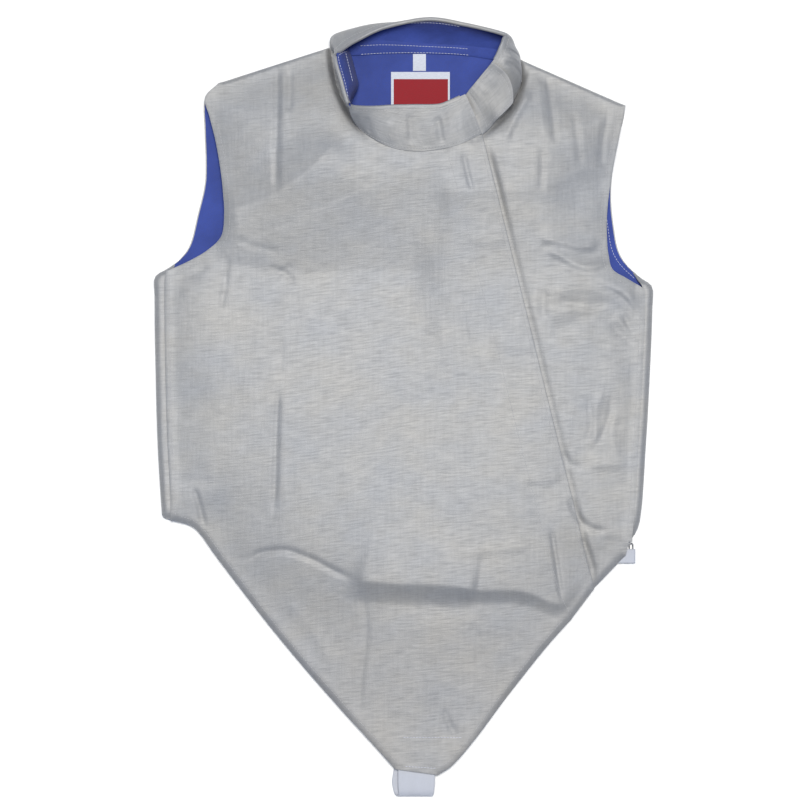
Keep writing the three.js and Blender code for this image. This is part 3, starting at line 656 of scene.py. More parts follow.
def front_height(x, y, relief=1.0, sag=0.0):
    """Height of the outside of the front over the floor, with its folds or a share of them."""
    shape = np.shape(x)
    x, y = np.ravel(x).astype(float), np.ravel(y).astype(float)
    closeness, rim = np.zeros_like(x), np.zeros_like(x)
    corners = np.stack([RIM["x"], RIM["y"]], -1)
    for i in range(len(corners) - 1):
        away, share, _ = nearest(corners[i], corners[i + 1], x, y)
        weight = np.maximum(away, 0.01) ** -RIM_POWER
        closeness += weight
        rim += weight * (RIM["height"][i] * (1 - share) + RIM["height"][i + 1] * share)
    inset = closeness ** (-1 / RIM_POWER)
    t = np.clip((soft_start(inset) - soft_start(0.0)) / RISE_WIDTH, 0, 1)
    base = rim / closeness
    z = base + (np.interp(y, CROWN_Y, CROWN_HEIGHT) - base) * (1 - (1 - t) ** 2)
    seam = np.minimum(nearest_on(SEAM_LEFT[::4], x, y)[0], nearest_on(SEAM_RIGHT[::4], x, y)[0])
    settle = np.clip(inset / FOLD_WIDTH, 0, 1) * eased((seam + SEAM_HEAD) / SEAM_CALM)
    z = z + SEAM_RISE * (1 - eased(seam / SEAM_RIDGE))
    hem = np.min([nearest_on(line[::3], x, y)[0] for line in HEMS], axis=0)
    fall = HEM_FALL * (1 + np.clip((y - POINT_Y) / POINT_FADE, 0, 1))
    z = z - fall * np.clip(1 - hem / HEM_WIDTH, 0, 1) ** 2
    z = z + settle * (relief * (fold_relief(x, y) + crumple(x, y)) - sag)
    for shoulder in SHOULDERS:
        away, share, _ = nearest(*shoulder, x, y)
        ends = eased(SHOULDER_ENDS * np.minimum(share, 1 - share))
        z = z - 2 * quarter_fall(away, 0.5 * SHOULDER_ROLL) * ends
    return z.reshape(shape)


def soft_start(inset):
    """Distance beyond the flat strip along the rim, starting gradually."""
    beyond = inset - RISE_START
    return 0.5 * (beyond + np.hypot(beyond, RISE_SOFT))


def quarter_fall(inset, radius):
    """How far a quarter fold of one radius falls at a distance from its edge."""
    across = radius - np.clip(inset, 0, radius)
    return radius - np.sqrt(np.maximum(0, radius * radius - across * across))


SHOULDERS = (((-77.5, 362.0), (-187.0, 325.5)), ((221.0, 303.0), (115.8, 350.0)))
FREE_EDGE = smooth_line(np.stack([FLAP["free_x"], FLAP["free_y"]], -1), 40)
SEAM_LEFT = edge_line(FRONT, "left", 10, 18)
SEAM_RIGHT = edge_line(SIDE, "right", 10, 19)
FLAP_FOOT = FLAP["free_x"][-1], FLAP["free_y"][-1]
HEMS = (
    edge_line(FRONT, "left", 18, 27),
    edge_line(FRONT, "right", 22, 27),
    straight((FRONT["right_x"][22], FRONT["right_y"][22]), FLAP_FOOT),
    straight(FLAP_FOOT, (SIDE["right_x"][-1], SIDE["right_y"][-1])),
)
NECK_LEFT = edge_line(FRONT, "right", 0, CLOSURE_ROW)
NECK_RIGHT = edge_line(SIDE, "left", 0, 6)
FLAP_SEAM = edge_line(FRONT, "right", CLOSURE_ROW, 22)
FLAP_LIFT = np.array([-0.35, 0.94]) * NECK_LAP  # the flap's top runs on under the collar


def neck_dip(x, y):
    """How far the front goes down where the collar is sewn on."""
    left, place, side = nearest_on(NECK_LEFT[::4], x, y)
    right, beside, outer = nearest_on(NECK_RIGHT[::4], x, y)
    gape = NECK_GAPE * plateau(place, *GAPE_SPAN)
    slit = NECK_SLIT * plateau(beside, *SLIT_SPAN)
    gape = gape * eased((np.where(side > 0, left, -left) + 2) / 5)
    slit = slit * eased((np.where(outer > 0, -right, right) + 3) / 6)
    return gape + slit + NECK_DIP * (bell(left, 0, 6.0) + bell(right, 0, 4.5))


def panel_height(x, y, sag=0.0):
    """Outside of the front with its neck edge tucked under the collar."""
    return front_height(x, y, 1.0, sag) - neck_dip(x, y)


def flap_groove(y):
    """How much deeper the side front lies along the flap's free edge, most below the collar."""
    return FLAP_GROOVE * (1 + GROOVE_MORE * bell(y, GROOVE_Y, GROOVE_LENGTH))


def side_height(x, y, sag=0.0):
    """Outside of the side front, which runs under the flap and comes up beyond it."""
    away, _, side = nearest_on(FREE_EDGE, x, y)
    beyond = np.where(side > 0, away, 0)
    shoulder, _, _ = nearest(*SHOULDERS[1], x, y)
    neck, _, _ = nearest_on(NECK_RIGHT[::4], x, y)
    groove = flap_groove(y) * eased(neck / GROOVE_FADE)
    drop = FLAP_DROP * (1 - eased(beyond / RISE_BEYOND)) + groove * bell(beyond, 1.5, 4.5)
    return panel_height(x, y, sag) - drop * np.clip(shoulder / DROP_REACH, 0, 1)


def turned(length, over, roll):
    """Inset from the side and height of the back at a length along it from the side seam."""
    angle = np.clip((length - over) / np.maximum(roll, 1e-6), 0, math.pi)
    flat = np.maximum(length - over - math.pi * roll, 0)
    inset = roll * (1 - np.sin(angle)) + flat + np.maximum(over - length, 0)
    return inset, roll * (1 + np.cos(angle))


def back_row(v):
    """Both ends of a row of the back, its length in plan and the radius of its side rolls."""
    left = np.stack([along(BACK["left_x"], v), along(BACK["left_y"], v)], -1)
    right = np.stack([along(BACK["right_x"], v), along(BACK["right_y"], v)], -1)
    roll = np.interp(v, np.arange(len(BACK["roll"])), BACK["roll"])
    width = np.linalg.norm(right - left, axis=-1)
    return left, right, width, SIDE_ROLL * eased(roll / SIDE_ROLL)


def back_shape(across, v, spot):
    """Move along the back's top edge and its rise there, for a share across at a row."""
    top_left = np.array([BACK["left_x"][0], BACK["left_y"][0]])
    top_right = np.array([BACK["right_x"][0], BACK["right_y"][0]])
    top = top_left + (top_right - top_left) * across[..., None]
    bump = keyed(BACK_TOP, "x", top[..., 0], "y") - top[..., 1]
    fade = np.clip(1 - v / UNDERARM, 0, 1) ** TOP_FADE
    below = (1 - fade) * bump + np.linalg.norm(top - spot, axis=-1)
    fold = keyed(BACK_TOP, "x", top[..., 0], "fold")
    neck = np.clip(1 - below / NECK_REACH, 0, 1) ** 2
    rise = fold * quarter_fall(below, SHOULDER_ROLL)
    rise = rise + (1 - fold) * keyed(BACK_TOP, "x", top[..., 0], "lift") * neck
    return bump * fade, np.where(v < TURN_ROWS, rise, 0)


def back_place(u, v):
    """Outside of the back, flat on the floor, rolled up round the sides and to the shoulders."""
    left, right, width, roll = back_row(v)
    share = roll / SIDE_ROLL
    length = width + share * (LEFT_OVER + RIGHT_OVER) + 2 * (math.pi - 1) * roll
    draw = np.minimum(1, length / NARROW_ROW)
    left_part, right_part = draw * (LEFT_OVER + SIDE_TURN), draw * (RIGHT_OVER + SIDE_TURN)
    first, last = SIDE_SHARE, 1 - SIDE_SHARE
    middle = left_part + (length - left_part - right_part) * (u - first) / (last - first)
    at = np.where(u < first, left_part * u / first, middle)
    at = np.where(u > last, length - right_part * (1 - u) / (1 - last), at)
    from_left, left_z = turned(at, share * LEFT_OVER, roll)
    from_right, right_z = turned(length - at, share * RIGHT_OVER, roll)
    inset = np.where(at < 0.5 * length, from_left, width - from_right)
    z = np.where(at < 0.5 * length, left_z, right_z)
    across = inset / width
    spot = left + (right - left) * across[..., None]
    shift, rise = back_shape(across, v, spot)
    return np.stack([spot[..., 0], spot[..., 1] + shift, z + rise], -1)


def inner_back_place(u, v):
    """Upper face of the back lining, which stays clear of the back's folds at its edges."""
    top_x = BACK["left_x"][0] + u * (BACK["right_x"][0] - BACK["left_x"][0])
    v = v + LINING_DROP * keyed(BACK_TOP, "x", top_x, "fold") * np.clip(1 - v, 0, 1)
    left, right, width, roll = back_row(v)
    stop = LINING_INSET + LINING_TURN * roll
    inset = stop + u * (width - 2 * stop)
    near = np.minimum(inset, width - inset)
    up = roll - np.sqrt(np.maximum(0, roll * roll - np.clip(roll - near, 0, None) ** 2))
    across = inset / width
    spot = left + (right - left) * across[..., None]
    shift, rise = back_shape(across, v, spot)
    clear = eased((np.abs(spot[..., 0] - NECK_LABEL["x"]) - LABEL_CLEAR) / LABEL_FADE)
    body, neck = eased((v - 1.5) / 4), 0.7 * clear * eased((v - 0.15) / 0.5)
    loose = eased((near - roll) / 45) * np.maximum(body, neck)
    waves = ripple(spot[..., 0], 0.7 * spot[..., 1], LINING_RIPPLE, 12.4)
    slack = LINING_SLACK * loose * np.clip(0.35 + waves, 0, 1)
    return np.stack([spot[..., 0], spot[..., 1] + shift, WALL + up + rise + slack], -1)


def seam_heights():
    """Height of the collar's seam at each station."""
    x, y = COLLAR["seam_x"], COLLAR["seam_y"]
    panel, side = front_height(x, y, 0.3) - neck_dip(x, y), side_height(x, y)
    back = keyed(BACK_TOP, "x", x, "lift")
    level = {"back": back, "flap": panel, "front": panel, "side": side}
    return np.array([level[part][i] + COLLAR_RISE[part] for i, part in enumerate(COLLAR_SIDES)])


COLLAR["seam_z"] = seam_heights()


def collar_place(u, v):
    """Outside of the collar, u in stations, from its seam at v = 0 to its top edge at v = 1."""
    rings = []
    for part in ("seam", "mid", "top"):
        rings.append(np.stack([along(COLLAR[f"{part}_{axis}"], u) for axis in "xyz"], -1))
    band = arched(*rings, v)
    share = np.clip(np.asarray(v, float), 0, 1)
    band[..., 2] += COLLAR_SLACK * ripple(2.4 * u, 1.1 * share, 1.0, 2.2) * np.sin(math.pi * share)
    for station, low, high, height, width in zip(*BUCKLES.values()):
        along_it = eased(4 * np.minimum(share - low, high - share) / (high - low))
        band[..., 2] += height * along_it * bell(u, station, width)
    return band


def tab_place(u, v):
    """Outside of the collar under the tab, which is stiff and stands off the collar's foot."""
    start = TAB_START + TAB_SLANT * (1 - v)
    station = start + (TAB_END - start) * u
    spot = collar_place(station, v)
    ridge = collar_place(station, np.full_like(v, TAB_RIDGE))[..., 2]
    low = along(COLLAR["mid_z"], station) - TAB_SINK
    stiff = low + (ridge - low) * np.minimum(v / TAB_RIDGE, 1)
    free = eased((TAB_FREE - station) / TAB_BEND)
    spot[..., 2] += free * np.maximum(0, stiff - spot[..., 2])
    return spot


def binding_place(u, v):
    """Outside of the binding, v going from the collar's outside over its edge to its inside."""
    top = np.ones_like(u)
    out = outward(collar_place, u, top)
    up = collar_place(u, top) - collar_place(u, top - 0.05)
    up /= np.linalg.norm(up, axis=-1, keepdims=True)
    half = 0.5 * (COLLAR_TOP + LINING) + BINDING_PLY + BINDING_AIR
    angle = math.pi * np.clip((v - 0.25) / 0.5, 0, 1)[..., None]
    leg = np.maximum(0.25 - v, v - 0.75).clip(0)[..., None] * 4 * BINDING_LEG
    middle = collar_place(u, top) - 0.5 * (COLLAR_TOP + LINING) * out
    return middle + half * (np.cos(angle) * out + 0.7 * np.sin(angle) * up) - leg * up


def tape_place(u, v):
    """The tape that covers the collar's seam inside the neck, from the collar down to the back."""
    inside, top = COLLAR_TOP + LINING + 0.2, np.full_like(u, TAPE_TOP)
    upper = collar_place(u, top) - inside * outward(collar_place, u, top)
    x, y, z = np.moveaxis(collar_place(u, np.zeros_like(u)), -1, 0)
    lower = np.stack([x, y - TAPE_REACH, z + WALL - 0.2], -1)
    middle = np.stack([x, y - 2.2, np.maximum(z, 2) + WALL + 1.2], -1)
    return arched(upper, middle, lower, v)


def strap_place(u, v):
    """Upper face of the crotch strap, and its lower one where it comes back under itself."""
    x = along(STRAP["centre_x"], v) + (u - 0.5) * along(STRAP["width"], v)
    return np.stack([x, along(STRAP["y"], v), np.maximum(along(STRAP["z"], v), 0)], -1)


def hip_tab_place(u, v):
    """Outside of the hip tab's webbing, u along it round its fold and v across it."""
    fold = 0.5 * HIP_TAB["room"] + WEBBING_PLY
    run = HIP_TAB["right"] - fold - HIP_TAB["left"]
    at = u * (2 * run + math.pi * fold)
    angle = np.clip((at - run) / fold, 0, math.pi)
    back = np.maximum(at - run - math.pi * fold, 0)
    x = HIP_TAB["left"] + np.minimum(at, run) + fold * np.sin(angle) - back
    z = HIP_TAB["floor"] + fold + fold * np.cos(angle)
    return np.stack([x, HIP_TAB["top"] + (HIP_TAB["bottom"] - HIP_TAB["top"]) * v, z], -1)


STEP = 1e-3  # for directions on a cloth


def outward(place, u, v):
    """Direction out of the garment at places on a cloth."""
    du = place(u + STEP, v) - place(u - STEP, v)
    dv = place(u, v + STEP) - place(u, v - STEP)
    out = np.cross(dv, du)
    return out / np.linalg.norm(out, axis=-1, keepdims=True)


def spread(first, last, count, edges=0.5):
    """Divisions that lie closer together toward both ends."""
    t = np.linspace(0, 1, count + 1)
    return first + (last - first) * (t - edges / (2 * math.pi) * np.sin(2 * math.pi * t))


def even_rows(rows, first, last, count):
    """Row positions spaced evenly along the edges of a panel."""
    v = np.linspace(first, last, 2001)
    steps = np.zeros(len(v))
    for side in ("left", "right"):
        x, y = along(rows[f"{side}_x"], v), along(rows[f"{side}_y"], v)
        steps[1:] += np.hypot(np.diff(x), np.diff(y))
    run = np.cumsum(steps)
    return np.interp(np.linspace(0, run[-1], count + 1), run, v)


def grain_of(x, y):
    """Threads of a panel: across and along the body, with the drift of slack cloth."""
    across, down = (reach * ripple(x, y, size, layer) for reach, size, layer in DRIFT)
    return np.stack([x + across, y + down - GRAIN_LEAN * x], -1)


RIM_ANGLE = math.radians(55)  # edges of a sheet turned more than this are its rim
SMOOTH_ANGLE = math.radians(50)  # edges turned less than this are shaded smooth


class Woven:
    """A grid of places on one face of a cloth, with what its finish reads."""

    def __init__(self, place, us, vs, depth=0.0, flip=False, grain="own"):
        u, v = np.meshgrid(us, vs)
        points = place(u, v)
        out = np.cross(np.gradient(points, axis=0), np.gradient(points, axis=1))
        out /= np.maximum(np.linalg.norm(out, axis=-1, keepdims=True), 1e-9)
        depth = np.broadcast_to(np.asarray(depth, float), u.shape)[..., None]
        points = points - (-out if flip else out) * depth
        self.across, self.down = self.run(points, 1), self.run(points, 0)
        if grain == "own":
            threads = np.stack([self.across - 0.5 * self.across[:, -1:], -self.down], -1)
        else:
            threads = grain_of(points[..., 0], points[..., 1])
        sides = np.minimum(self.across, self.across[:, -1:] - self.across)
        edge = np.minimum(sides, np.minimum(self.down, self.down[-1:] - self.down))
        a, b = points[1:, 1:] - points[:-1, :-1], points[1:, :-1] - points[:-1, 1:]
        self.area = 0.5 * np.linalg.norm(np.cross(a, b), axis=-1).sum()
        self.size = self.across[:, -1].max(), self.down[-1].max()
        self.flip, self.grid = flip, points.shape[:2]
        self.points, self.threads, self.edge = points, threads, edge

    @staticmethod
    def sewn(points):
        """Which points lie along a flat seam: none, because every rim here is rounded."""
        return np.zeros(len(points), bool)

    @staticmethod
    def run(points, axis):
        """Length along the cloth from its first edge."""
        lengths = np.linalg.norm(np.diff(points, axis=axis), axis=-1)
        pad = [(0, 0), (0, 0)]
        pad[axis] = (1, 0)
        return np.cumsum(np.pad(lengths, pad), axis=axis)

    def lay(self, name):
        """The cloth as a grid, shaped over its places."""
        down, across = self.grid
        clear_selection()
        bpy.ops.mesh.primitive_grid_add(x_subdivisions=across - 1, y_subdivisions=down - 1, size=2)
        piece = bpy.context.object
        piece.name = piece.data.name = name
        mesh = piece.data
        at = np.empty(3 * len(mesh.vertices))
        mesh.vertices.foreach_get("co", at)
        at = at.reshape(-1, 3)
        i = np.rint((at[:, 0] + 1) * 0.5 * (across - 1)).astype(int)
        j = np.rint((at[:, 1] + 1) * 0.5 * (down - 1)).astype(int)
        mesh.uv_layers.active.name = "cloth"
        fill_mesh(mesh, self.points[j, i], self.threads[j, i], self.edge[j, i])
        if not self.flip:
            mesh.flip_normals()
        return piece


class Cut:
    """A piece of cloth cut to an outline and laid over a height."""

    def __init__(self, outline, height, pitch, seams=()):
        outline = np.asarray(outline, float)
        tree = self.tree_of(outline)
        low, high = outline.min(0), outline.max(0)
        rows = np.arange(low[1], high[1], ROW_STEP * pitch)
        x, y = np.meshgrid(np.arange(low[0], high[0], pitch), rows)
        x[1::2] += 0.5 * pitch
        inner = np.stack([x.ravel(), y.ravel()], -1)
        inner = inner[self.within(outline, inner)]
        inner = inner[self.distances(tree, inner) > EDGE_CLEAR * pitch]
        loop = [(i, (i + 1) % len(outline)) for i in range(len(outline))]
        flat = [Vector(point) for point in np.concatenate([outline, inner])]
        flat, _, self.faces, _, _, _ = geometry.delaunay_2d_cdt(flat, loop, [], 1, 1e-5)
        plan = np.array([point[:] for point in flat])
        self.points = np.column_stack([plan, height(plan[:, 0], plan[:, 1])])
        self.threads = grain_of(plan[:, 0], plan[:, 1])
        self.edge = self.distances(tree, plan)
        self.seams = seams
        self.edge[self.sewn(self.points)] = SEAM_STRIP
        ahead = np.roll(outline, -1, axis=0)
        self.area = 0.5 * abs(np.sum(outline[:, 0] * ahead[:, 1] - ahead[:, 0] * outline[:, 1]))
        self.size = self.least_box(outline)

    def sewn(self, points):
        """Which points lie along the seams."""
        near = np.zeros(len(points), bool)
        for seam in self.seams:
            near |= nearest_on(seam[::2], points[:, 0], points[:, 1])[0] < SEAM_STRIP
        return near

    @staticmethod
    def least_box(outline):
        """Sides of the smallest rectangle that the outline fits in."""
        boxes = []
        for angle in np.linspace(0, 0.5 * math.pi, 60, endpoint=False):
            cos, sin = math.cos(angle), math.sin(angle)
            turn = np.array([[cos, -sin], [sin, cos]])
            boxes.append(tuple(np.ptp(outline @ turn, axis=0)))
        return min(boxes, key=lambda box: box[0] * box[1])

    @staticmethod
    def tree_of(outline):
        """Search tree of close points round an outline."""
        close = spaced(np.concatenate([outline, outline[:1]]), 0.5)
        tree = kdtree.KDTree(len(close))
        for i, (x, y) in enumerate(close):
            tree.insert((x, y, 0), i)
        tree.balance()
        return tree

    @staticmethod
    def distances(tree, points):
        """Distance of each point from the outline."""
        return np.array([tree.find((x, y, 0))[2] for x, y in points])

    @staticmethod
    def within(outline, points):
        """Which points lie inside the outline."""
        x, y = points[:, 0], points[:, 1]
        inside = np.zeros(len(points), bool)
        for (ax, ay), (bx, by) in zip(outline, np.roll(outline, -1, axis=0)):
            if ay == by:
                continue
            crosses = ((ay > y) != (by > y)) & (x < (bx - ax) * (y - ay) / (by - ay) + ax)
            inside ^= crosses
        return inside

    def lay(self, name):
        """The cloth as triangles between its points."""
        mesh = bpy.data.meshes.new(name)
        mesh.from_pydata(self.points * MM, [], self.faces)
        piece = bpy.data.objects.new(name, mesh)
        bpy.context.collection.objects.link(piece)
        mesh.uv_layers.new(name="cloth")
        fill_mesh(mesh, self.points, self.threads, self.edge)
        return piece


def drawn_in(outline, inset):
    """An outline that runs counter-clockwise, moved inwards, for a lining."""
    outline = np.asarray(outline, float)
    looped = np.concatenate([outline[-3:], outline, outline[:3]])
    inner = moved(looped, inset)[3:-3]
    tree = Cut.tree_of(outline)
    return inner[Cut.distances(tree, inner) > inset - DRAW_ROOM]


def fill_mesh(mesh, points, threads, edge):
    """Puts a cloth's places, threads and edge distances on its mesh."""
    mesh.vertices.foreach_set("co", (points * MM).ravel())
    corners = np.empty(len(mesh.loops), int)
    mesh.loops.foreach_get("vertex_index", corners)
    mesh.uv_layers["cloth"].data.foreach_set("uv", (threads[corners] * MM).ravel())
    border = mesh.attributes.new("edge", "FLOAT", "POINT")
    border.data.foreach_set("value", edge * MM)
    mesh.update()


def clear_selection():
    """Nothing selected, so that the next operator acts on its own piece alone."""
    bpy.ops.object.select_all(action="DESELECT")


def choose(piece):
    """Only this piece selected and active."""
    clear_selection()
    piece.select_set(True)
    bpy.context.view_layer.objects.active = piece


def apply_all(piece):
    """Applies a piece's modifiers in order."""
    choose(piece)
    for modifier in list(piece.modifiers):
        bpy.ops.object.modifier_apply(modifier=modifier.name)


def dress(piece, material):
    """Gives a piece one material."""
    piece.data.materials.clear()
    piece.data.materials.append(material)


def shift_mesh(offset):
    """Moves the whole mesh of the active piece."""
    bpy.ops.object.mode_set(mode="EDIT")
    bpy.ops.mesh.select_all(action="SELECT")
    bpy.ops.transform.translate(value=offset)
    bpy.ops.object.mode_set(mode="OBJECT")


def mark_rim(piece, cloth):
    """Marks the edges of a sheet that are rounded: its rim, except where it is sewn on."""
    points = np.empty(3 * len(piece.data.vertices))
    piece.data.vertices.foreach_get("co", points)
    sewn = cloth.sewn(points.reshape(-1, 3) / MM)
    sheet = bmesh.new()
    sheet.from_mesh(piece.data)
    weight = sheet.edges.layers.float.new("bevel_weight_edge")
    for edge in sheet.edges:
        ends = [sewn[vertex.index] for vertex in edge.verts]
        edge[weight] = float(edge.calc_face_angle(0) > RIM_ANGLE and not all(ends))
    sheet.to_mesh(piece.data)
    sheet.free()


def sew(name, cloth, ply, material, round_edge=0.3):
    """A closed sheet of cloth of one thickness under its outer face, with rounded edges."""
    piece = cloth.lay(name)
    wall = piece.modifiers.new("wall", "SOLIDIFY")
    wall.thickness = ply * MM
    wall.offset = -1
    apply_all(piece)
    mark_rim(piece, cloth)
    rim = piece.modifiers.new("rim", "BEVEL")
    rim.limit_method = "WEIGHT"
    rim.width = round_edge * ply * MM
    rim.segments = 2
    apply_all(piece)
    bpy.ops.object.shade_smooth_by_angle(angle=SMOOTH_ANGLE)
    dress(piece, material)
    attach(piece, BODY)
    return piece


def declare(node):
    """Hides the imported part that a sheet replaces, if there is one."""
    if node:
        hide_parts(node)


class Finish:
    """One procedural finish, built node by node."""

    def __init__(self, name):
        self.material = bpy.data.materials.new(name)
        self.material.use_nodes = True
        self.tree = self.material.node_tree
        self.tree.nodes.clear()
        self.shader = self.node("ShaderNodeBsdfPrincipled")
        output = self.node("ShaderNodeOutputMaterial")
        self.tree.links.new(self.shader.outputs["BSDF"], output.inputs["Surface"])

    def node(self, kind, **settings):
        """A new node with its settings."""
        made = self.tree.nodes.new(kind)
        for key, value in settings.items():
            setattr(made, key, value)
        return made

    def put(self, socket, value):
        """Links a socket, or sets it to a plain value."""
        if isinstance(value, bpy.types.NodeSocket):
            self.tree.links.new(value, socket)
        else:
            socket.default_value = value

    def set(self, **values):
        """Sets or links the shader's own sockets."""
        for name, value in values.items():
            self.put(self.shader.inputs[name.replace("_", " ")], value)

    def threads(self, scale):
        """Coordinates along the cloth's threads, stretched."""
        source = self.node("ShaderNodeUVMap", uv_map="cloth").outputs["UV"]
        return self.stretch(source, scale)

    def place(self, scale):
        """Coordinates of the object, stretched."""
        source = self.node("ShaderNodeTexCoord").outputs["Object"]
        return self.stretch(source, scale)

    def height_on_body(self):
        """Distance of a point from the middle of the body toward the collar."""
        split = self.node("ShaderNodeSeparateXYZ")
        self.put(split.inputs[0], self.node("ShaderNodeTexCoord").outputs["Object"])
        return split.outputs["Y"]

    def stretch(self, source, scale):
        """Coordinates scaled along each axis."""
        mapping = self.node("ShaderNodeMapping")
        self.put(mapping.inputs["Vector"], source)
        mapping.inputs["Scale"].default_value = scale
        return mapping.outputs["Vector"]

    def edge(self):
        """Distance from the cloth's edge."""
        return self.node("ShaderNodeAttribute", attribute_name="edge").outputs["Fac"]

    def noise(self, vector, detail, roughness):
        """Soft noise, as a value round a half."""
        made = self.node("ShaderNodeTexNoise")
        self.put(made.inputs["Vector"], vector)
        made.inputs["Scale"].default_value = 1.0
        made.inputs["Detail"].default_value = detail
        made.inputs["Roughness"].default_value = roughness
        return made.outputs["Fac"]

    def math(self, operation, a, b=0.0):
        """Result of one operation on two values."""
        made = self.node("ShaderNodeMath", operation=operation)
        self.put(made.inputs[0], a)
        self.put(made.inputs[1], b)
        return made.outputs[0]

    def remap(self, value, low, high, to_low, to_high):
        """A value carried smoothly from one range to another."""
        made = self.node("ShaderNodeMapRange", interpolation_type="SMOOTHSTEP")
        for socket, given in zip(made.inputs, (value, low, high, to_low, to_high)):
            self.put(socket, given)
        return made.outputs["Result"]

    def ramp(self, value, *stops):
        """A colour read from stops along a value."""
        made = self.node("ShaderNodeValToRGB")
        self.put(made.inputs["Fac"], value)
        elements = made.color_ramp.elements
        while len(elements) < len(stops):
            elements.new(0.5)
        for element, (position, colour) in zip(elements, stops):
            element.position = position
            element.color = (*colour, 1)
        return made.outputs["Color"]

    def mix(self, share, a, b, blend="MIX"):
        """Two colours blended by a share."""
        made = self.node("ShaderNodeMix", data_type="RGBA", blend_type=blend)
        self.put(made.inputs[0], share)
        for socket, value in ((made.inputs[6], a), (made.inputs[7], b)):
            self.put(socket, value if isinstance(value, bpy.types.NodeSocket) else (*value, 1))
        return made.outputs[2]

    def tone(self, colour, value, dark, light, low=0.25, high=0.75):
        """A colour made darker where a value is low and lighter where it is high."""
        grey = self.remap(value, low, high, dark, light)
        shade = self.node("ShaderNodeCombineColor")
        for socket in shade.inputs[:3]:
            self.put(socket, grey)
        return self.mix(1.0, colour, shade.outputs[0], "MULTIPLY")

    def bump(self, height, distance, under=None):
        """A normal that follows a height, over another one or the mesh's own."""
        made = self.node("ShaderNodeBump")
        made.inputs["Strength"].default_value = 1.0
        made.inputs["Distance"].default_value = distance
        self.put(made.inputs["Height"], height)
        if under is not None:
            self.put(made.inputs["Normal"], under)
        return made.outputs["Normal"]

    def thread_axes(self):
        """Distances across and along the cloth's threads."""
        parts = self.node("ShaderNodeSeparateXYZ")
        self.put(parts.inputs[0], self.node("ShaderNodeUVMap", uv_map="cloth").outputs["UV"])
        return parts.outputs

    def weave(self, across, down):
        """Plain weave with threads of one pitch each way, as a height between 0 and 1."""
        axes = self.thread_axes()
        waves = []
        for axis, pitch in ((0, across), (1, down)):
            turn = self.math("MULTIPLY", axes[axis], math.pi / (pitch * MM))
            waves.append(self.math("SINE", turn))
        return self.math("MULTIPLY_ADD", self.math("MULTIPLY", *waves), 0.5)


def tinted(colour, factor):
    """A colour with its brightness scaled."""
    return tuple(min(1.0, max(0.0, channel * factor)) for channel in colour)


POINT_SHADE = (0.902, 0.893, 0.886)  # painted shade: how much darker the front is toward the point
POINT_SHADE_FROM, POINT_SHADE_TO = -0.03, -0.30  # metres along the body where that starts and is full
EDGE_TONE_WIDTH = 0.0016  # width of the band along the cloths' edges that is toned, in metres: lighter on the metallic cloth, a painted highlight, and darker on the elastic


def metallic_cloth(settings):
    """Grey cloth woven with metal thread: slubby weft, soft sheen, cool and warm patches, with a
    painted highlight along its edges and painted shade toward the point.
    """
    f = Finish("metallic_weave")
    cool, warm = tuple(settings.metal_cool), tuple(settings.metal_warm)
    middle = tuple(0.5 * (a + b) for a, b in zip(cool, warm))
    cloud = f.noise(f.threads((13, 17, 1)), 3, 0.55)
    slub = f.noise(f.threads((58, 640, 1)), 2, 0.55)
    fine = f.noise(f.threads((120, 1050, 1)), 2, 0.6)
    warp = f.noise(f.threads((360, 32, 1)), 2, 0.55)
    weave = f.weave(0.42, 0.42)
    colour = f.ramp(cloud, (0.34, cool), (0.5, middle), (0.66, warm))
    colour = f.tone(colour, slub, 0.93, 1.0, 0.28, 0.47)
    colour = f.tone(colour, f.noise(f.threads((70, 110, 1)), 3, 0.6), 0.965, 1.03)
    colour = f.tone(colour, fine, 0.955, 1.035)
    colour = f.tone(colour, warp, 0.965, 1.03)
    colour = f.tone(colour, weave, 0.95, 1.03)
    # painted highlight: the metallic cloth is lighter along its edges
    colour = f.tone(colour, f.edge(), 1.07, 1.0, 0.0, EDGE_TONE_WIDTH)
    # painted shade: the cloth darkens toward the point
    shaded = f.remap(f.height_on_body(), POINT_SHADE_TO, POINT_SHADE_FROM, 1.0, 0.0)
    colour = f.mix(shaded, colour, POINT_SHADE, "MULTIPLY")
    normal = f.bump(weave, 0.00005)
    normal = f.bump(slub, 0.00017, normal)
    normal = f.bump(warp, 0.00014, normal)
    normal = f.bump(f.noise(f.threads((80, 110, 1)), 3, 0.5), 0.0003, normal)
    f.set(Base_Color=colour, Metallic=0.6, Normal=normal)
    f.set(Roughness=f.remap(slub, 0.25, 0.75, 0.70, 0.62))
    f.set(Sheen_Weight=0.08, Sheen_Roughness=0.5)
    return f.material


def blue_lining(settings):
    """Royal blue lining cloth with a close plain weave."""
    f = Finish("lining_weave")
    blue = tuple(settings.lining_blue)
    cloud = f.noise(f.threads((26, 26, 1)), 3, 0.55)
    grain = f.noise(f.threads((380, 900, 1)), 2, 0.5)
    weave = f.weave(0.36, 0.36)
    colour = f.ramp(cloud, (0.3, tinted(blue, 0.82)), (0.7, tinted(blue, 1.12)))
    colour = f.tone(colour, grain, 0.92, 1.06)
    colour = f.tone(colour, weave, 0.9, 1.05)
    normal = f.bump(weave, 0.00005)
    normal = f.bump(f.noise(f.threads((60, 48, 1)), 3, 0.5), 0.0011, normal)
    f.set(Base_Color=colour, Roughness=f.remap(grain, 0.25, 0.75, 0.68, 0.85), Normal=normal)
    f.set(Sheen_Weight=0.06, Sheen_Roughness=0.5, Specular_IOR_Level=0.3)
    return f.material


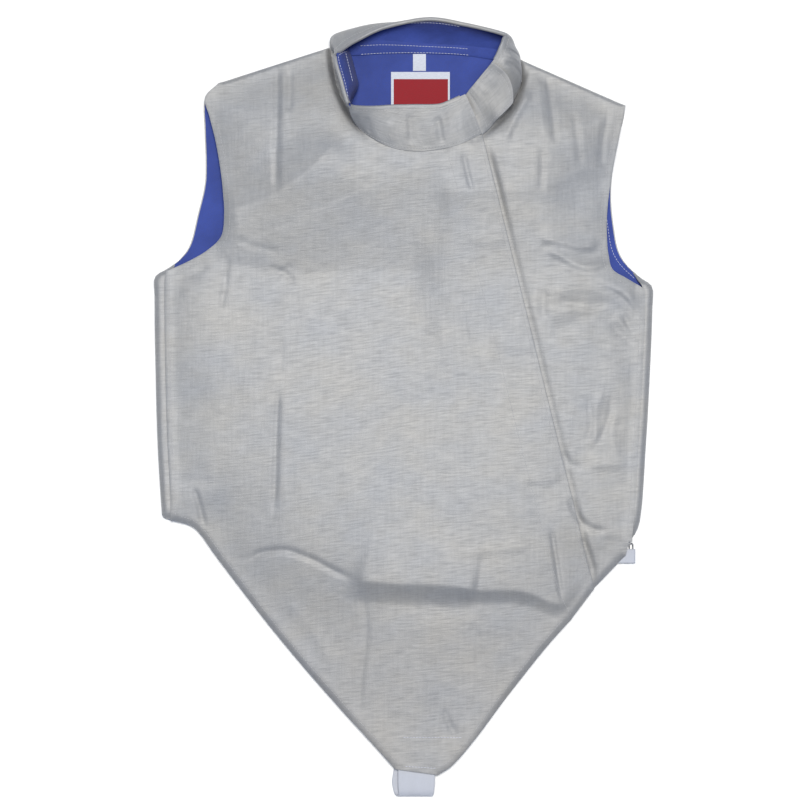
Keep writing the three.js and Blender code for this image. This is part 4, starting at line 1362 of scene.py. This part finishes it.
def white_elastic(settings):
    """White elastic webbing with ribs along it and a satin face."""
    f = Finish("elastic_weave")
    white = tuple(settings.elastic_white)
    ribs = f.weave(1.5, 0.55)
    cloud = f.noise(f.threads((60, 30, 1)), 2, 0.5)
    colour = f.ramp(cloud, (0.3, tinted(white, 0.93)), (0.7, tinted(white, 1.04)))
    colour = f.tone(colour, ribs, 0.9, 1.04)
    # the elastic is darker along its edges
    colour = f.tone(colour, f.edge(), 0.85, 1.0, 0.0, EDGE_TONE_WIDTH)
    normal = f.bump(ribs, 0.00018)
    f.set(Base_Color=colour, Roughness=f.remap(cloud, 0.3, 0.7, 0.42, 0.55), Normal=normal)
    f.set(Sheen_Weight=0.25, Sheen_Roughness=0.35)
    return f.material


# The neck label's red field, in metres from the middle and the top of the label.
FIELD = {"middle": 0.0004, "half_width": 0.0272, "top": -0.0072, "bottom": -0.0370}


def woven_label(name, settings, field_share):
    """Woven label: a white ground, on the neck label with a red field short of its edges."""
    f = Finish(name)
    axes = f.thread_axes()
    across = f.math("ABSOLUTE", f.math("ADD", axes[0], -FIELD["middle"]))
    side = f.math("LESS_THAN", across, FIELD["half_width"])
    upper = f.math("LESS_THAN", axes[1], FIELD["top"])
    lower = f.math("GREATER_THAN", axes[1], FIELD["bottom"])
    height = f.math("MULTIPLY", lower, field_share)
    field = f.math("MULTIPLY", f.math("MULTIPLY", side, upper), height)
    weave = f.weave(0.3, 0.45)
    grain = f.noise(f.threads((300, 1500, 1)), 2, 0.5)
    colour = f.mix(field, tuple(settings.label_white), tuple(settings.label_red))
    colour = f.tone(colour, grain, 0.9, 1.06)
    colour = f.tone(colour, weave, 0.9, 1.05)
    normal = f.bump(weave, 0.00007)
    normal = f.bump(field, 0.00012, normal)
    f.set(Base_Color=colour, Roughness=f.remap(grain, 0.25, 0.75, 0.6, 0.75), Normal=normal)
    f.set(Specular_IOR_Level=0.25)
    return f.material


def sewing_thread(name, colour):
    """Twisted sewing thread."""
    f = Finish(name)
    twist = f.noise(f.place((2600, 2600, 900)), 2, 0.5)
    shade = f.ramp(twist, (0.3, tinted(colour, 0.82)), (0.7, tinted(colour, 1.08)))
    f.set(Base_Color=shade, Roughness=f.remap(twist, 0.3, 0.7, 0.5, 0.68))
    f.set(Sheen_Weight=0.2, Normal=f.bump(twist, 0.00008))
    return f.material


def steel_wire():
    """Dark spring steel wire with fine draw marks."""
    f = Finish("spring_wire")
    marks = f.noise(f.place((900, 2200, 900)), 3, 0.6)
    colour = f.ramp(marks, (0.3, (0.055, 0.058, 0.066)), (0.7, (0.16, 0.165, 0.18)))
    f.set(Base_Color=colour, Metallic=1.0, Roughness=f.remap(marks, 0.3, 0.7, 0.24, 0.42))
    f.set(Normal=f.bump(marks, 0.00004))
    return f.material


def dark_zip():
    """Dark tape of the hidden closure, ribbed across."""
    f = Finish("zip_tape")
    ribs = f.noise(f.place((260, 1800, 260)), 2, 0.5)
    colour = f.ramp(ribs, (0.3, (0.030, 0.032, 0.040)), (0.7, (0.06, 0.064, 0.075)))
    f.set(Base_Color=colour, Roughness=f.remap(ribs, 0.3, 0.7, 0.6, 0.8))
    f.set(Normal=f.bump(ribs, 0.0002))
    return f.material


def finish(name, make, *given):
    """A finish by name, made once."""
    return bpy.data.materials.get(name) or make(*given)


def metal_finish(context):
    """Finish of the metallic cloth."""
    return finish("metallic_weave", metallic_cloth, context.scene.lame_cloth)


def lining_finish(context):
    """Finish of the linings."""
    return finish("lining_weave", blue_lining, context.scene.lame_cloth)


def elastic_finish(context):
    """Finish of the straps."""
    return finish("elastic_weave", white_elastic, context.scene.lame_cloth)


class LameCloth(bpy.types.PropertyGroup):
    """Colours of the cloths."""

    metal_cool: FloatVectorProperty(
        name="Metallic cool", description="Cool patches of the metallic cloth", subtype="COLOR",
        default=(0.368, 0.374, 0.389), min=0, max=1)
    metal_warm: FloatVectorProperty(
        name="Metallic warm", description="Warm patches of the metallic cloth", subtype="COLOR",
        default=(0.400, 0.394, 0.386), min=0, max=1)
    lining_blue: FloatVectorProperty(
        name="Lining", description="Blue of the lining", subtype="COLOR",
        default=(0.0385, 0.066, 0.294), min=0, max=1)
    elastic_white: FloatVectorProperty(
        name="Elastic", description="White of the straps", subtype="COLOR",
        default=(0.48, 0.50, 0.565), min=0, max=1)
    label_white: FloatVectorProperty(
        name="Label ground", description="White ground of the woven labels", subtype="COLOR",
        default=(0.63, 0.66, 0.745), min=0, max=1)
    label_red: FloatVectorProperty(
        name="Label field", description="Red field of the neck label", subtype="COLOR",
        default=(0.29, 0.012, 0.020), min=0, max=1)


class LameStitching(bpy.types.PropertyGroup):
    """Sewing thread and stitch sizes."""

    pitch: FloatProperty(
        name="Stitch pitch", description="Length from one stitch to the next", unit="LENGTH",
        default=0.0031, min=0.001, max=0.01)
    length: FloatProperty(
        name="Stitch length", description="Length of thread that shows", unit="LENGTH",
        default=0.0026, min=0.0005, max=0.01)
    thread: FloatProperty(
        name="Thread", description="Thickness of the thread", unit="LENGTH",
        default=0.00048, min=0.0001, max=0.002)
    grey: FloatVectorProperty(
        name="Grey thread", description="Thread on the metallic cloth", subtype="COLOR",
        default=(0.47, 0.47, 0.48), min=0, max=1)
    white: FloatVectorProperty(
        name="White thread", description="Thread on the lining", subtype="COLOR",
        default=(0.72, 0.74, 0.86), min=0, max=1)


class LameStage(bpy.types.PropertyGroup):
    """Floor, light and camera."""

    frame_width: FloatProperty(
        name="Frame width", description="Width that the picture shows at the cloth", unit="LENGTH",
        default=0.8, min=0.1, max=5)
    camera_height: FloatProperty(
        name="Camera height", description="Height of the camera over the floor", unit="LENGTH",
        default=7.0, min=1, max=30)
    key: FloatProperty(
        name="Key light", description="Strength of the main soft light", default=3.3, min=0)
    key_spread: FloatProperty(
        name="Key spread", description="How wide the main soft light is", subtype="ANGLE",
        default=math.radians(16), min=0, max=math.pi)
    above: FloatVectorProperty(
        name="Light from above", description="Room light from straight above", subtype="COLOR",
        default=(0.17, 0.22, 0.31), min=0, max=2)
    around: FloatVectorProperty(
        name="Light from around", description="Room light from the sides", subtype="COLOR",
        default=(0.06, 0.12, 0.24), min=0, max=2)
    floor: FloatVectorProperty(
        name="Floor", description="Colour of the floor", subtype="COLOR",
        default=(0.93, 0.93, 0.93), min=0, max=1)


FLOOR_SIZE = 40.0  # these sizes are in metres
FLOOR_DROP = 0.0004  # the floor lies this much below the cloth
KEY_TINT = (1.0, 0.97, 0.905)
KEY_WAY = (-0.02, -0.13, -0.98)  # direction of the main light
VIEW_MIDDLE = (-0.005, 0.008)  # place on the floor under the camera
VIEW_LEVEL = 0.024  # height of the cloth at which the picture has its full width
SENSOR = 36.0  # width of the camera's sensor in millimetres


class LAME_OT_stage(bpy.types.Operator):
    """Lay a pale floor, set soft studio light and look straight down from far above."""

    bl_idname = "lame.stage"
    bl_label = "Stage"

    def execute(self, context):
        settings = context.scene.lame_stage
        clear_selection()
        bpy.ops.mesh.primitive_grid_add(
            x_subdivisions=8, y_subdivisions=8, size=FLOOR_SIZE, location=(0, 0, 0))
        floor = context.object
        floor.name = floor.data.name = "floor"
        shift_mesh((0, 0, -FLOOR_DROP))
        f = Finish("studio_floor")
        grain = f.noise(f.place((90, 90, 90)), 3, 0.5)
        tint = tuple(settings.floor)
        f.set(Base_Color=f.ramp(grain, (0.3, tinted(tint, 0.985)), (0.7, tint)), Roughness=0.85)
        floor.data.materials.append(f.material)
        context.scene.world = self.room(tuple(settings.around), tuple(settings.above))
        bpy.ops.object.light_add(type="SUN", location=(0, 0, 3))
        key = context.object
        key.name = "key"
        key.data.energy = settings.key
        key.data.angle = settings.key_spread
        key.data.color = KEY_TINT
        key.rotation_euler = Vector(KEY_WAY).to_track_quat("-Z", "Y").to_euler()
        clear_selection()
        spot = (*VIEW_MIDDLE, settings.camera_height)
        bpy.ops.object.camera_add(location=spot, rotation=(0, 0, 0))
        camera = context.object
        camera.name = "camera"
        camera.data.sensor_width = SENSOR
        camera.data.lens = SENSOR * (settings.camera_height - VIEW_LEVEL) / settings.frame_width
        camera.data.clip_end = 100
        context.scene.camera = camera
        context.scene.view_settings.view_transform = "Standard"
        return {"FINISHED"}

    @staticmethod
    def room(around, above):
        """Soft light of the room, brighter from above than from the sides."""
        world = bpy.data.worlds.new("studio")
        world.use_nodes = True
        nodes, links = world.node_tree.nodes, world.node_tree.links
        parts = nodes.new("ShaderNodeSeparateXYZ")
        links.new(nodes.new("ShaderNodeTexCoord").outputs["Object"], parts.inputs[0])
        ramp = nodes.new("ShaderNodeValToRGB")
        ramp.color_ramp.elements[0].color = (*around, 1)
        ramp.color_ramp.elements[1].color = (*above, 1)
        links.new(parts.outputs["Z"], ramp.inputs["Fac"])
        links.new(ramp.outputs["Color"], nodes["Background"].inputs["Color"])
        return world


def front_outline():
    """The front as cut, with its neck edge run on under the collar."""
    share = np.linspace(0, 1, len(NECK_LEFT))
    neck = moved(NECK_LEFT, NECK_LAP + FRONT_LAP * plateau(share, *LAP_SPAN))
    armhole = edge_line(FRONT, "left", 0, 10)
    hem, right_hem = HEMS[0], HEMS[1]
    bottom = straight(hem[-1], right_hem[-1])
    top = straight(neck[0], armhole[0])
    side = lapped(SEAM_LEFT, -SEAM_LAP)
    return joined(armhole, side, hem, bottom, right_hem[::-1], FLAP_SEAM[::-1], neck[::-1], top)


def side_outline():
    """The side front as cut, from under the flap to the side seam."""
    share = np.linspace(0, 1, len(NECK_RIGHT))
    neck = moved(NECK_RIGHT, -NECK_LAP - SIDE_LAP * eased((share - 0.45) / 0.3))
    under = edge_line(SIDE, "left", 6, 20)
    armhole = edge_line(SIDE, "right", 0, 10)
    hem = edge_line(SIDE, "right", 19, 20)
    bottom = straight(under[-1], hem[-1])
    top = straight(armhole[0], neck[0])
    seam = lapped(SEAM_RIGHT, SEAM_LAP)
    return joined(neck, under, bottom, hem[::-1], seam[::-1], armhole[::-1], top)


def flap_outline():
    """The flap as cut, from its seam with the front to its free edge."""
    seam = moved(FLAP_SEAM, SEAM_AIR)
    free = spaced(FREE_EDGE, EDGE_STEP)
    top = straight(free[0] + FLAP_LIFT, seam[0] + FLAP_LIFT)
    return joined(seam, HEMS[2], free[::-1], top)


def lining_of(outline, height):
    """The lining under a panel of the front, short of its edges."""
    under = drawn_in(outline, LINING_DRAW)
    return Cut(under, lambda x, y: height(x, y, LINING_SAG) - LINING_TOP, PITCH["lining"])


class LAME_OT_back(bpy.types.Operator):
    """Sew the back, which lies on the floor, and its lining."""

    bl_idname = "lame.back"
    bl_label = "Back"

    def execute(self, context):
        turn = np.linspace(0, SIDE_SHARE, 26)
        middle = np.linspace(SIDE_SHARE, 1 - SIDE_SHARE, 76)
        us = np.concatenate([turn[:-1], middle[:-1], 1 - turn[::-1]])
        vs = np.concatenate([np.linspace(0, 1, 14)[:-1], even_rows(BACK, 1, 24, 150)])
        shell = Woven(back_place, us, vs, 0, flip=True, grain="panel")
        panel = sew("back_panel_cloth", shell, SHELL, metal_finish(context))
        declare("back_panel")
        rows = np.concatenate([np.linspace(0.02, 1, 12)[:-1], even_rows(BACK, 1, 23.8, 130)])
        inner = Woven(inner_back_place, spread(0, 1, 120, 0.8), rows)
        lining = sew("back_lining_cloth", inner, LINING, lining_finish(context))
        declare("back_lining")
        return {"FINISHED"}


class LAME_OT_front(bpy.types.Operator):
    """Cut and lay the front and its lining."""

    bl_idname = "lame.front"
    bl_label = "Front"

    def execute(self, context):
        outline = front_outline()
        shell = Cut(outline, panel_height, PITCH["front"], (FLAP_SEAM,))
        panel = sew("front_panel_cloth", shell, SHELL, metal_finish(context))
        declare("front_panel")
        inner = lining_of(outline, panel_height)
        lining = sew("front_lining_cloth", inner, LINING, lining_finish(context))
        declare("front_lining")
        return {"FINISHED"}


class LAME_OT_side_front(bpy.types.Operator):
    """Cut and lay the side front, which runs under the flap, and its lining."""

    bl_idname = "lame.side_front"
    bl_label = "Side front"

    def execute(self, context):
        outline = side_outline()
        shell = Cut(outline, side_height, PITCH["side"], (lapped(SEAM_RIGHT, SEAM_LAP),))
        panel = sew("side_front_cloth", shell, SHELL, metal_finish(context))
        declare("side_front_panel")
        inner = lining_of(outline, side_height)
        lining = sew("side_front_lining_cloth", inner, LINING, lining_finish(context))
        declare("side_front_lining")
        return {"FINISHED"}


class LAME_OT_closure(bpy.types.Operator):
    """Cut and lay the flap over the hidden closure."""

    bl_idname = "lame.closure"
    bl_label = "Closure"

    def execute(self, context):
        flap = Cut(flap_outline(), panel_height, PITCH["flap"], (FLAP_SEAM,))
        piece = sew("closure_flap_cloth", flap, FLAP_PLY, metal_finish(context))
        declare("closure_flap")
        dress(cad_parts["closure_zip"], finish("zip_tape", dark_zip))
        return {"FINISHED"}


class LAME_OT_collar(bpy.types.Operator):
    """Sew the standing collar, its lining, binding and seam tape and the tab that fastens it."""

    bl_idname = "lame.collar"
    bl_label = "Collar"

    def execute(self, context):
        metal, blue = metal_finish(context), lining_finish(context)
        band = Woven(collar_place, np.linspace(0, len(COLLAR_SIDES) - 1, 300), spread(0, 1, 26))
        piece = sew("collar_band_cloth", band, SHELL, metal)
        declare("collar_band")
        us, vs = np.linspace(0.1, 20.9, 240), np.linspace(0.0, 0.955, 24)
        u, v = np.meshgrid(us, vs)
        inner = Woven(collar_place, us, vs, COLLAR_TOP + lining_lean(u, v))
        lining = sew("collar_lining_cloth", inner, LINING, blue)
        declare("collar_lining")
        cover = Woven(tape_place, np.linspace(10.25, 16.75, 90), np.linspace(0, 1, 12))
        tape = sew("neck_tape_cloth", cover, TAPE_PLY, blue)
        declare(None)
        bound = Woven(binding_place, np.linspace(0.4, 18.0, 260), np.linspace(0, 1, 13))
        binding = sew("collar_binding_cloth", bound, BINDING_PLY, metal)
        declare(None)
        us = np.linspace(0, 1, 40)
        tab = Woven(tab_place, us, np.linspace(0.04, 1, 34), -PLY_GAP - TAB_PLY - tab_lift(us))
        strip = sew("collar_tab_cloth", tab, TAB_PLY, metal, 0.35)
        declare("collar_tab")
        return {"FINISHED"}


def tab_lift(u):
    """How far the free end of the tab stands off the collar."""
    return TAB_LIFT * np.clip(1 - u / TAB_CURL, 0, 1) ** 2


def lining_lean(u, v):
    """How far the collar lining leans in on the left, where it shows from above."""
    return LINING_LEAN * eased((u - LEAN_FROM) / 0.9) * eased((LEAN_TO - u) / 1.2) * (1 - v)


class LAME_OT_strap(bpy.types.Operator):
    """Sew the elastic loop at the point."""

    bl_idname = "lame.strap"
    bl_label = "Crotch strap"

    def execute(self, context):
        loop = Woven(strap_place, spread(0, 1, 26), np.linspace(0, len(STRAP["y"]) - 1, 90))
        strap = sew("crotch_strap_elastic", loop, STRAP_PLY, elastic_finish(context))
        declare("crotch_strap")
        return {"FINISHED"}


class LAME_OT_hip_tab(bpy.types.Operator):
    """Fold the webbing tab at the hip and bend the wire hook that it holds."""

    bl_idname = "lame.hip_tab"
    bl_label = "Hip tab"

    def execute(self, context):
        fold = Woven(hip_tab_place, np.linspace(0, 1, 90), spread(0, 1, 16))
        tab = sew("hip_tab_webbing", fold, WEBBING_PLY, elastic_finish(context))
        declare("side_tab")
        clear_selection()
        bend = 0.5 * (HIP_HOOK["width"] - HOOK_WIRE)
        reach = 0.5 * (HIP_HOOK["length"] - HIP_HOOK["width"])
        bpy.ops.mesh.primitive_torus_add(
            major_segments=40, minor_segments=12,
            major_radius=bend * MM, minor_radius=0.5 * HOOK_WIRE * MM)
        hook = context.object
        hook.name = hook.data.name = "hip_hook_wire"
        self.pull(hook, 1, reach * MM)
        self.pull(hook, -1, reach * MM)
        level = HIP_TAB["floor"] + 0.5 * HIP_TAB["room"] + WEBBING_PLY
        shift_mesh((HIP_HOOK["x"] * MM, HIP_HOOK["y"] * MM, level * MM))
        bpy.ops.object.shade_smooth()
        dress(hook, finish("spring_wire", steel_wire))
        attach(hook, BODY)
        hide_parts("side_hook")
        return {"FINISHED"}

    @staticmethod
    def pull(hook, way, reach):
        """Moves one half of the ring away to make it long."""
        for group in (hook.data.edges, hook.data.polygons):
            for part in group:
                part.select = False
        for vertex in hook.data.vertices:
            vertex.select = way * vertex.co.y > 1e-7
        bpy.ops.object.mode_set(mode="EDIT")
        bpy.ops.transform.translate(value=(0, way * reach, 0))
        bpy.ops.object.mode_set(mode="OBJECT")


class LAME_OT_labels(bpy.types.Operator):
    """Lay the neck label and the size tab, both bare of words, on the back lining."""

    bl_idname = "lame.labels"
    bl_label = "Labels"

    def execute(self, context):
        colours = context.scene.lame_cloth
        woven = finish("woven_label", woven_label, "woven_label", colours, 1.0)
        plain = finish("plain_label", woven_label, "plain_label", colours, 0.0)

        def label_place(u, v):
            """Upper face of the neck label, its sides curled up a little."""
            x = NECK_LABEL["x"] + (u - 0.5) * NECK_LABEL["width"]
            y = NECK_LABEL["y"] + (0.5 - v) * NECK_LABEL["height"]
            curl = 0.5 * (2 * np.abs(u - 0.5)) ** 4 + 0.25 * ripple(x, y, 24, 4.4)
            return np.stack([x, y, NECK_LABEL["floor"] + LABEL_PLY + 0.4 + curl], -1)

        def size_place(u, v):
            """Upper face of the size tab, which is bowed and tilted."""
            x = SIZE_TAB["x"] + (u - 0.5) * SIZE_TAB["width"]
            y = SIZE_TAB["y"] + (0.5 - v) * SIZE_TAB["height"]
            lift = SIZE_TAB["tilt"] * (0.5 - v) * SIZE_TAB["height"] + 0.5 * np.sin(math.pi * v)
            return np.stack([x, y, SIZE_TAB["floor"] + LABEL_PLY + lift], -1)

        label = Woven(label_place, np.linspace(0, 1, 60), np.linspace(0, 1, 44))
        piece = sew("neck_label_woven", label, LABEL_PLY, woven)
        declare("neck_label")
        size = Woven(size_place, np.linspace(0, 1, 18), np.linspace(0, 1, 24))
        tab = sew("size_tab_woven", size, LABEL_PLY, plain)
        declare("size_tab")
        return {"FINISHED"}


class LAME_OT_stitching(bpy.types.Operator):
    """Run the topstitching along the seams and edges, stitch by stitch."""

    bl_idname = "lame.stitching"
    bl_label = "Stitching"

    def execute(self, context):
        sizes = context.scene.lame_stitching
        grey = finish("grey_thread", sewing_thread, "grey_thread", tuple(sizes.grey))
        white = finish("white_thread", sewing_thread, "white_thread", tuple(sizes.white))
        self.group("body_stitches", self.body_rows(), grey, "metallic_cloth", sizes)
        self.group("point_stitches", self.point_rows(), white, "white_elastic", sizes)
        self.group("collar_stitches", self.collar_rows(), grey, "metallic_cloth", sizes)
        self.group("lining_stitches", self.lining_rows(), white, "white_elastic", sizes)
        return {"FINISHED"}

    @staticmethod
    def seam(place, u, v, depth=-STITCH_RAISE):
        """Places along a line of stitches, just proud of the cloth."""
        u, v = np.broadcast_arrays(np.asarray(u, float), np.asarray(v, float))
        return place(u, v) - np.reshape(depth, (-1, 1)) * outward(place, u, v)

    @staticmethod
    def over(line, inset, height, trim=0):
        """A line moved in from an edge and laid on a panel, short of both ends by some points."""
        plan = moved(line, inset)
        plan = plan[trim:len(plan) - trim]
        return np.column_stack([plan, height(plan[:, 0], plan[:, 1]) + STITCH_RAISE])

    def body_rows(self):
        """Lines on the front, the side front and the flap."""
        return [
            self.over(edge_line(FRONT, "left", 1, 10), EDGE_STITCH, panel_height, 2),
            self.over(SEAM_LEFT, SEAM_STITCH, panel_height, 2),
            self.over(HEMS[0], EDGE_STITCH, panel_height, 3),
            self.over(HEMS[1], -EDGE_STITCH, panel_height, 3),
            self.over(FLAP_SEAM, FLAP_STITCH, panel_height, 2),
            self.over(spaced(FREE_EDGE, EDGE_STEP), -FREE_STITCH, panel_height, 3),
            self.over(edge_line(SIDE, "right", 0, 10), -EDGE_STITCH, side_height, 3),
            self.over(SEAM_RIGHT, -SEAM_STITCH, side_height, 2),
        ]

    def point_rows(self):
        """Light lines that hold the strap behind the point of the front."""
        ends = (((-2, -330), (58, -330)), ((0, -359), (32, -361)))
        return [self.over(straight(*pair), 0, panel_height) for pair in ends]

    def collar_rows(self):
        """Lines on the outside of the collar and round the tab."""
        lift = -PLY_GAP - TAB_PLY - STITCH_RAISE
        lines = [
            self.seam(collar_place, np.linspace(0.15, TAB_START - 0.2, 240), 0.9),
            self.seam(collar_place, np.linspace(0.15, 18, 230), 0.06),
            self.seam(collar_place, 0.13, np.linspace(0.06, 0.94, 20)),
        ]
        for v in (0.12, 0.92):
            across = np.linspace(0.07, 0.9, 24)
            lines.append(self.seam(tab_place, across, v, lift - tab_lift(across)))
        for u in (0.07, 0.8):
            lines.append(self.seam(tab_place, u, np.linspace(0.12, 0.92, 20), lift - tab_lift(u)))
        return lines

    def lining_rows(self):
        """White lines inside the collar, along its seam tape and down the right armhole."""
        inside = COLLAR_TOP + LINING + 0.14
        left = np.linspace(7.25, 9.0, 36)
        lines = [self.seam(collar_place, np.linspace(12.5, 13.9, 36), 0.87, inside)]
        for v in (0.16, 0.68):
            lines.append(self.seam(tape_place, np.linspace(11.34, 14.14, 60), v))
        for v, line in ((0.9, left), (0.44, left[left > 7.75])):
            lines.append(self.seam(collar_place, line, v, inside + lining_lean(line, v)))
        down = np.linspace(0.9, 0.3, 14)
        lines.append(self.seam(collar_place, 9.0, down, inside + lining_lean(9.0, down)))
        lines.append(self.seam(inner_back_place, 0.988, np.linspace(1.4, 8.2, 80)))
        return lines

    def group(self, name, lines, thread, slot, sizes):
        """All the rows of one thread as one piece."""
        rows = [self.row(f"{name}_{k}", line * MM, sizes) for k, line in enumerate(lines)]
        clear_selection()
        for row in rows:
            row.select_set(True)
        bpy.context.view_layer.objects.active = rows[0]
        bpy.ops.object.join()
        piece = bpy.context.object
        piece.name = piece.data.name = name
        bpy.ops.object.shade_smooth()
        dress(piece, thread)
        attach(piece, BODY)

    @staticmethod
    def row(name, points, sizes):
        """One row: a stitch modelled once, repeated along the line and bent onto it."""
        length = np.linalg.norm(np.diff(points, axis=0), axis=1).sum()
        line = bpy.data.curves.new(f"{name}_line", "CURVE")
        line.dimensions = "3D"
        spline = line.splines.new("POLY")
        spline.points.add(len(points) - 1)
        spline.points.foreach_set("co", np.pad(points, ((0, 0), (0, 1)), constant_values=1).ravel())
        guide = bpy.data.objects.new(f"{name}_line", line)
        bpy.context.collection.objects.link(guide)
        clear_selection()
        bpy.ops.mesh.primitive_uv_sphere_add(segments=6, ring_count=4, radius=0.5)
        stitch = bpy.context.object
        stitch.name = name
        bpy.ops.object.mode_set(mode="EDIT")
        bpy.ops.mesh.select_all(action="SELECT")
        bpy.ops.transform.rotate(value=0.5 * math.pi, orient_axis="Y", center_override=(0, 0, 0))
        scale = (sizes.length, sizes.thread, sizes.thread)
        bpy.ops.transform.resize(value=scale, center_override=(0, 0, 0))
        bpy.ops.transform.translate(value=(0.5 * sizes.pitch, 0, 0))
        bpy.ops.object.mode_set(mode="OBJECT")
        repeat = stitch.modifiers.new("repeat", "ARRAY")
        repeat.count = max(1, int(length / sizes.pitch))
        repeat.use_relative_offset = False
        repeat.use_constant_offset = True
        repeat.constant_offset_displace = (sizes.pitch, 0, 0)
        bend = stitch.modifiers.new("bend", "CURVE")
        bend.object = guide
        apply_all(stitch)
        bpy.data.objects.remove(guide)
        bpy.data.curves.remove(line)
        return stitch


class LAME_PT_sidebar(bpy.types.Panel):
    """The lame's pieces and settings."""

    bl_idname = "LAME_PT_sidebar"
    bl_label = "Fencing Lame"
    bl_space_type = "VIEW_3D"
    bl_region_type = "UI"
    bl_category = "Lame"

    def draw(self, context):
        for step in STEPS:
            self.layout.operator(step.bl_idname)
        scene = context.scene
        for group in (scene.lame_cloth, scene.lame_stitching, scene.lame_stage):
            box = self.layout.box()
            for name in group.__annotations__:
                box.prop(group, name)


STEPS = (
    LAME_OT_stage,
    LAME_OT_back,
    LAME_OT_front,
    LAME_OT_side_front,
    LAME_OT_closure,
    LAME_OT_collar,
    LAME_OT_strap,
    LAME_OT_hip_tab,
    LAME_OT_labels,
    LAME_OT_stitching,
)
GROUPS = (LameCloth, LameStitching, LameStage)


def register():
    """Adds the operators, the panel and the settings."""
    for item in (*GROUPS, *STEPS, LAME_PT_sidebar):
        bpy.utils.register_class(item)
    bpy.types.Scene.lame_cloth = PointerProperty(type=LameCloth)
    bpy.types.Scene.lame_stitching = PointerProperty(type=LameStitching)
    bpy.types.Scene.lame_stage = PointerProperty(type=LameStage)


def unregister():
    """Takes them away again."""
    del bpy.types.Scene.lame_stage
    del bpy.types.Scene.lame_stitching
    del bpy.types.Scene.lame_cloth
    for item in reversed((*GROUPS, *STEPS, LAME_PT_sidebar)):
        bpy.utils.unregister_class(item)


def main():
    """Sews the whole lame."""
    register()
    bpy.ops.lame.stage()
    bpy.ops.lame.back()
    bpy.ops.lame.front()
    bpy.ops.lame.side_front()
    bpy.ops.lame.closure()
    bpy.ops.lame.collar()
    bpy.ops.lame.strap()
    bpy.ops.lame.hip_tab()
    bpy.ops.lame.labels()
    bpy.ops.lame.stitching()


if __name__ == "__main__":
    main()
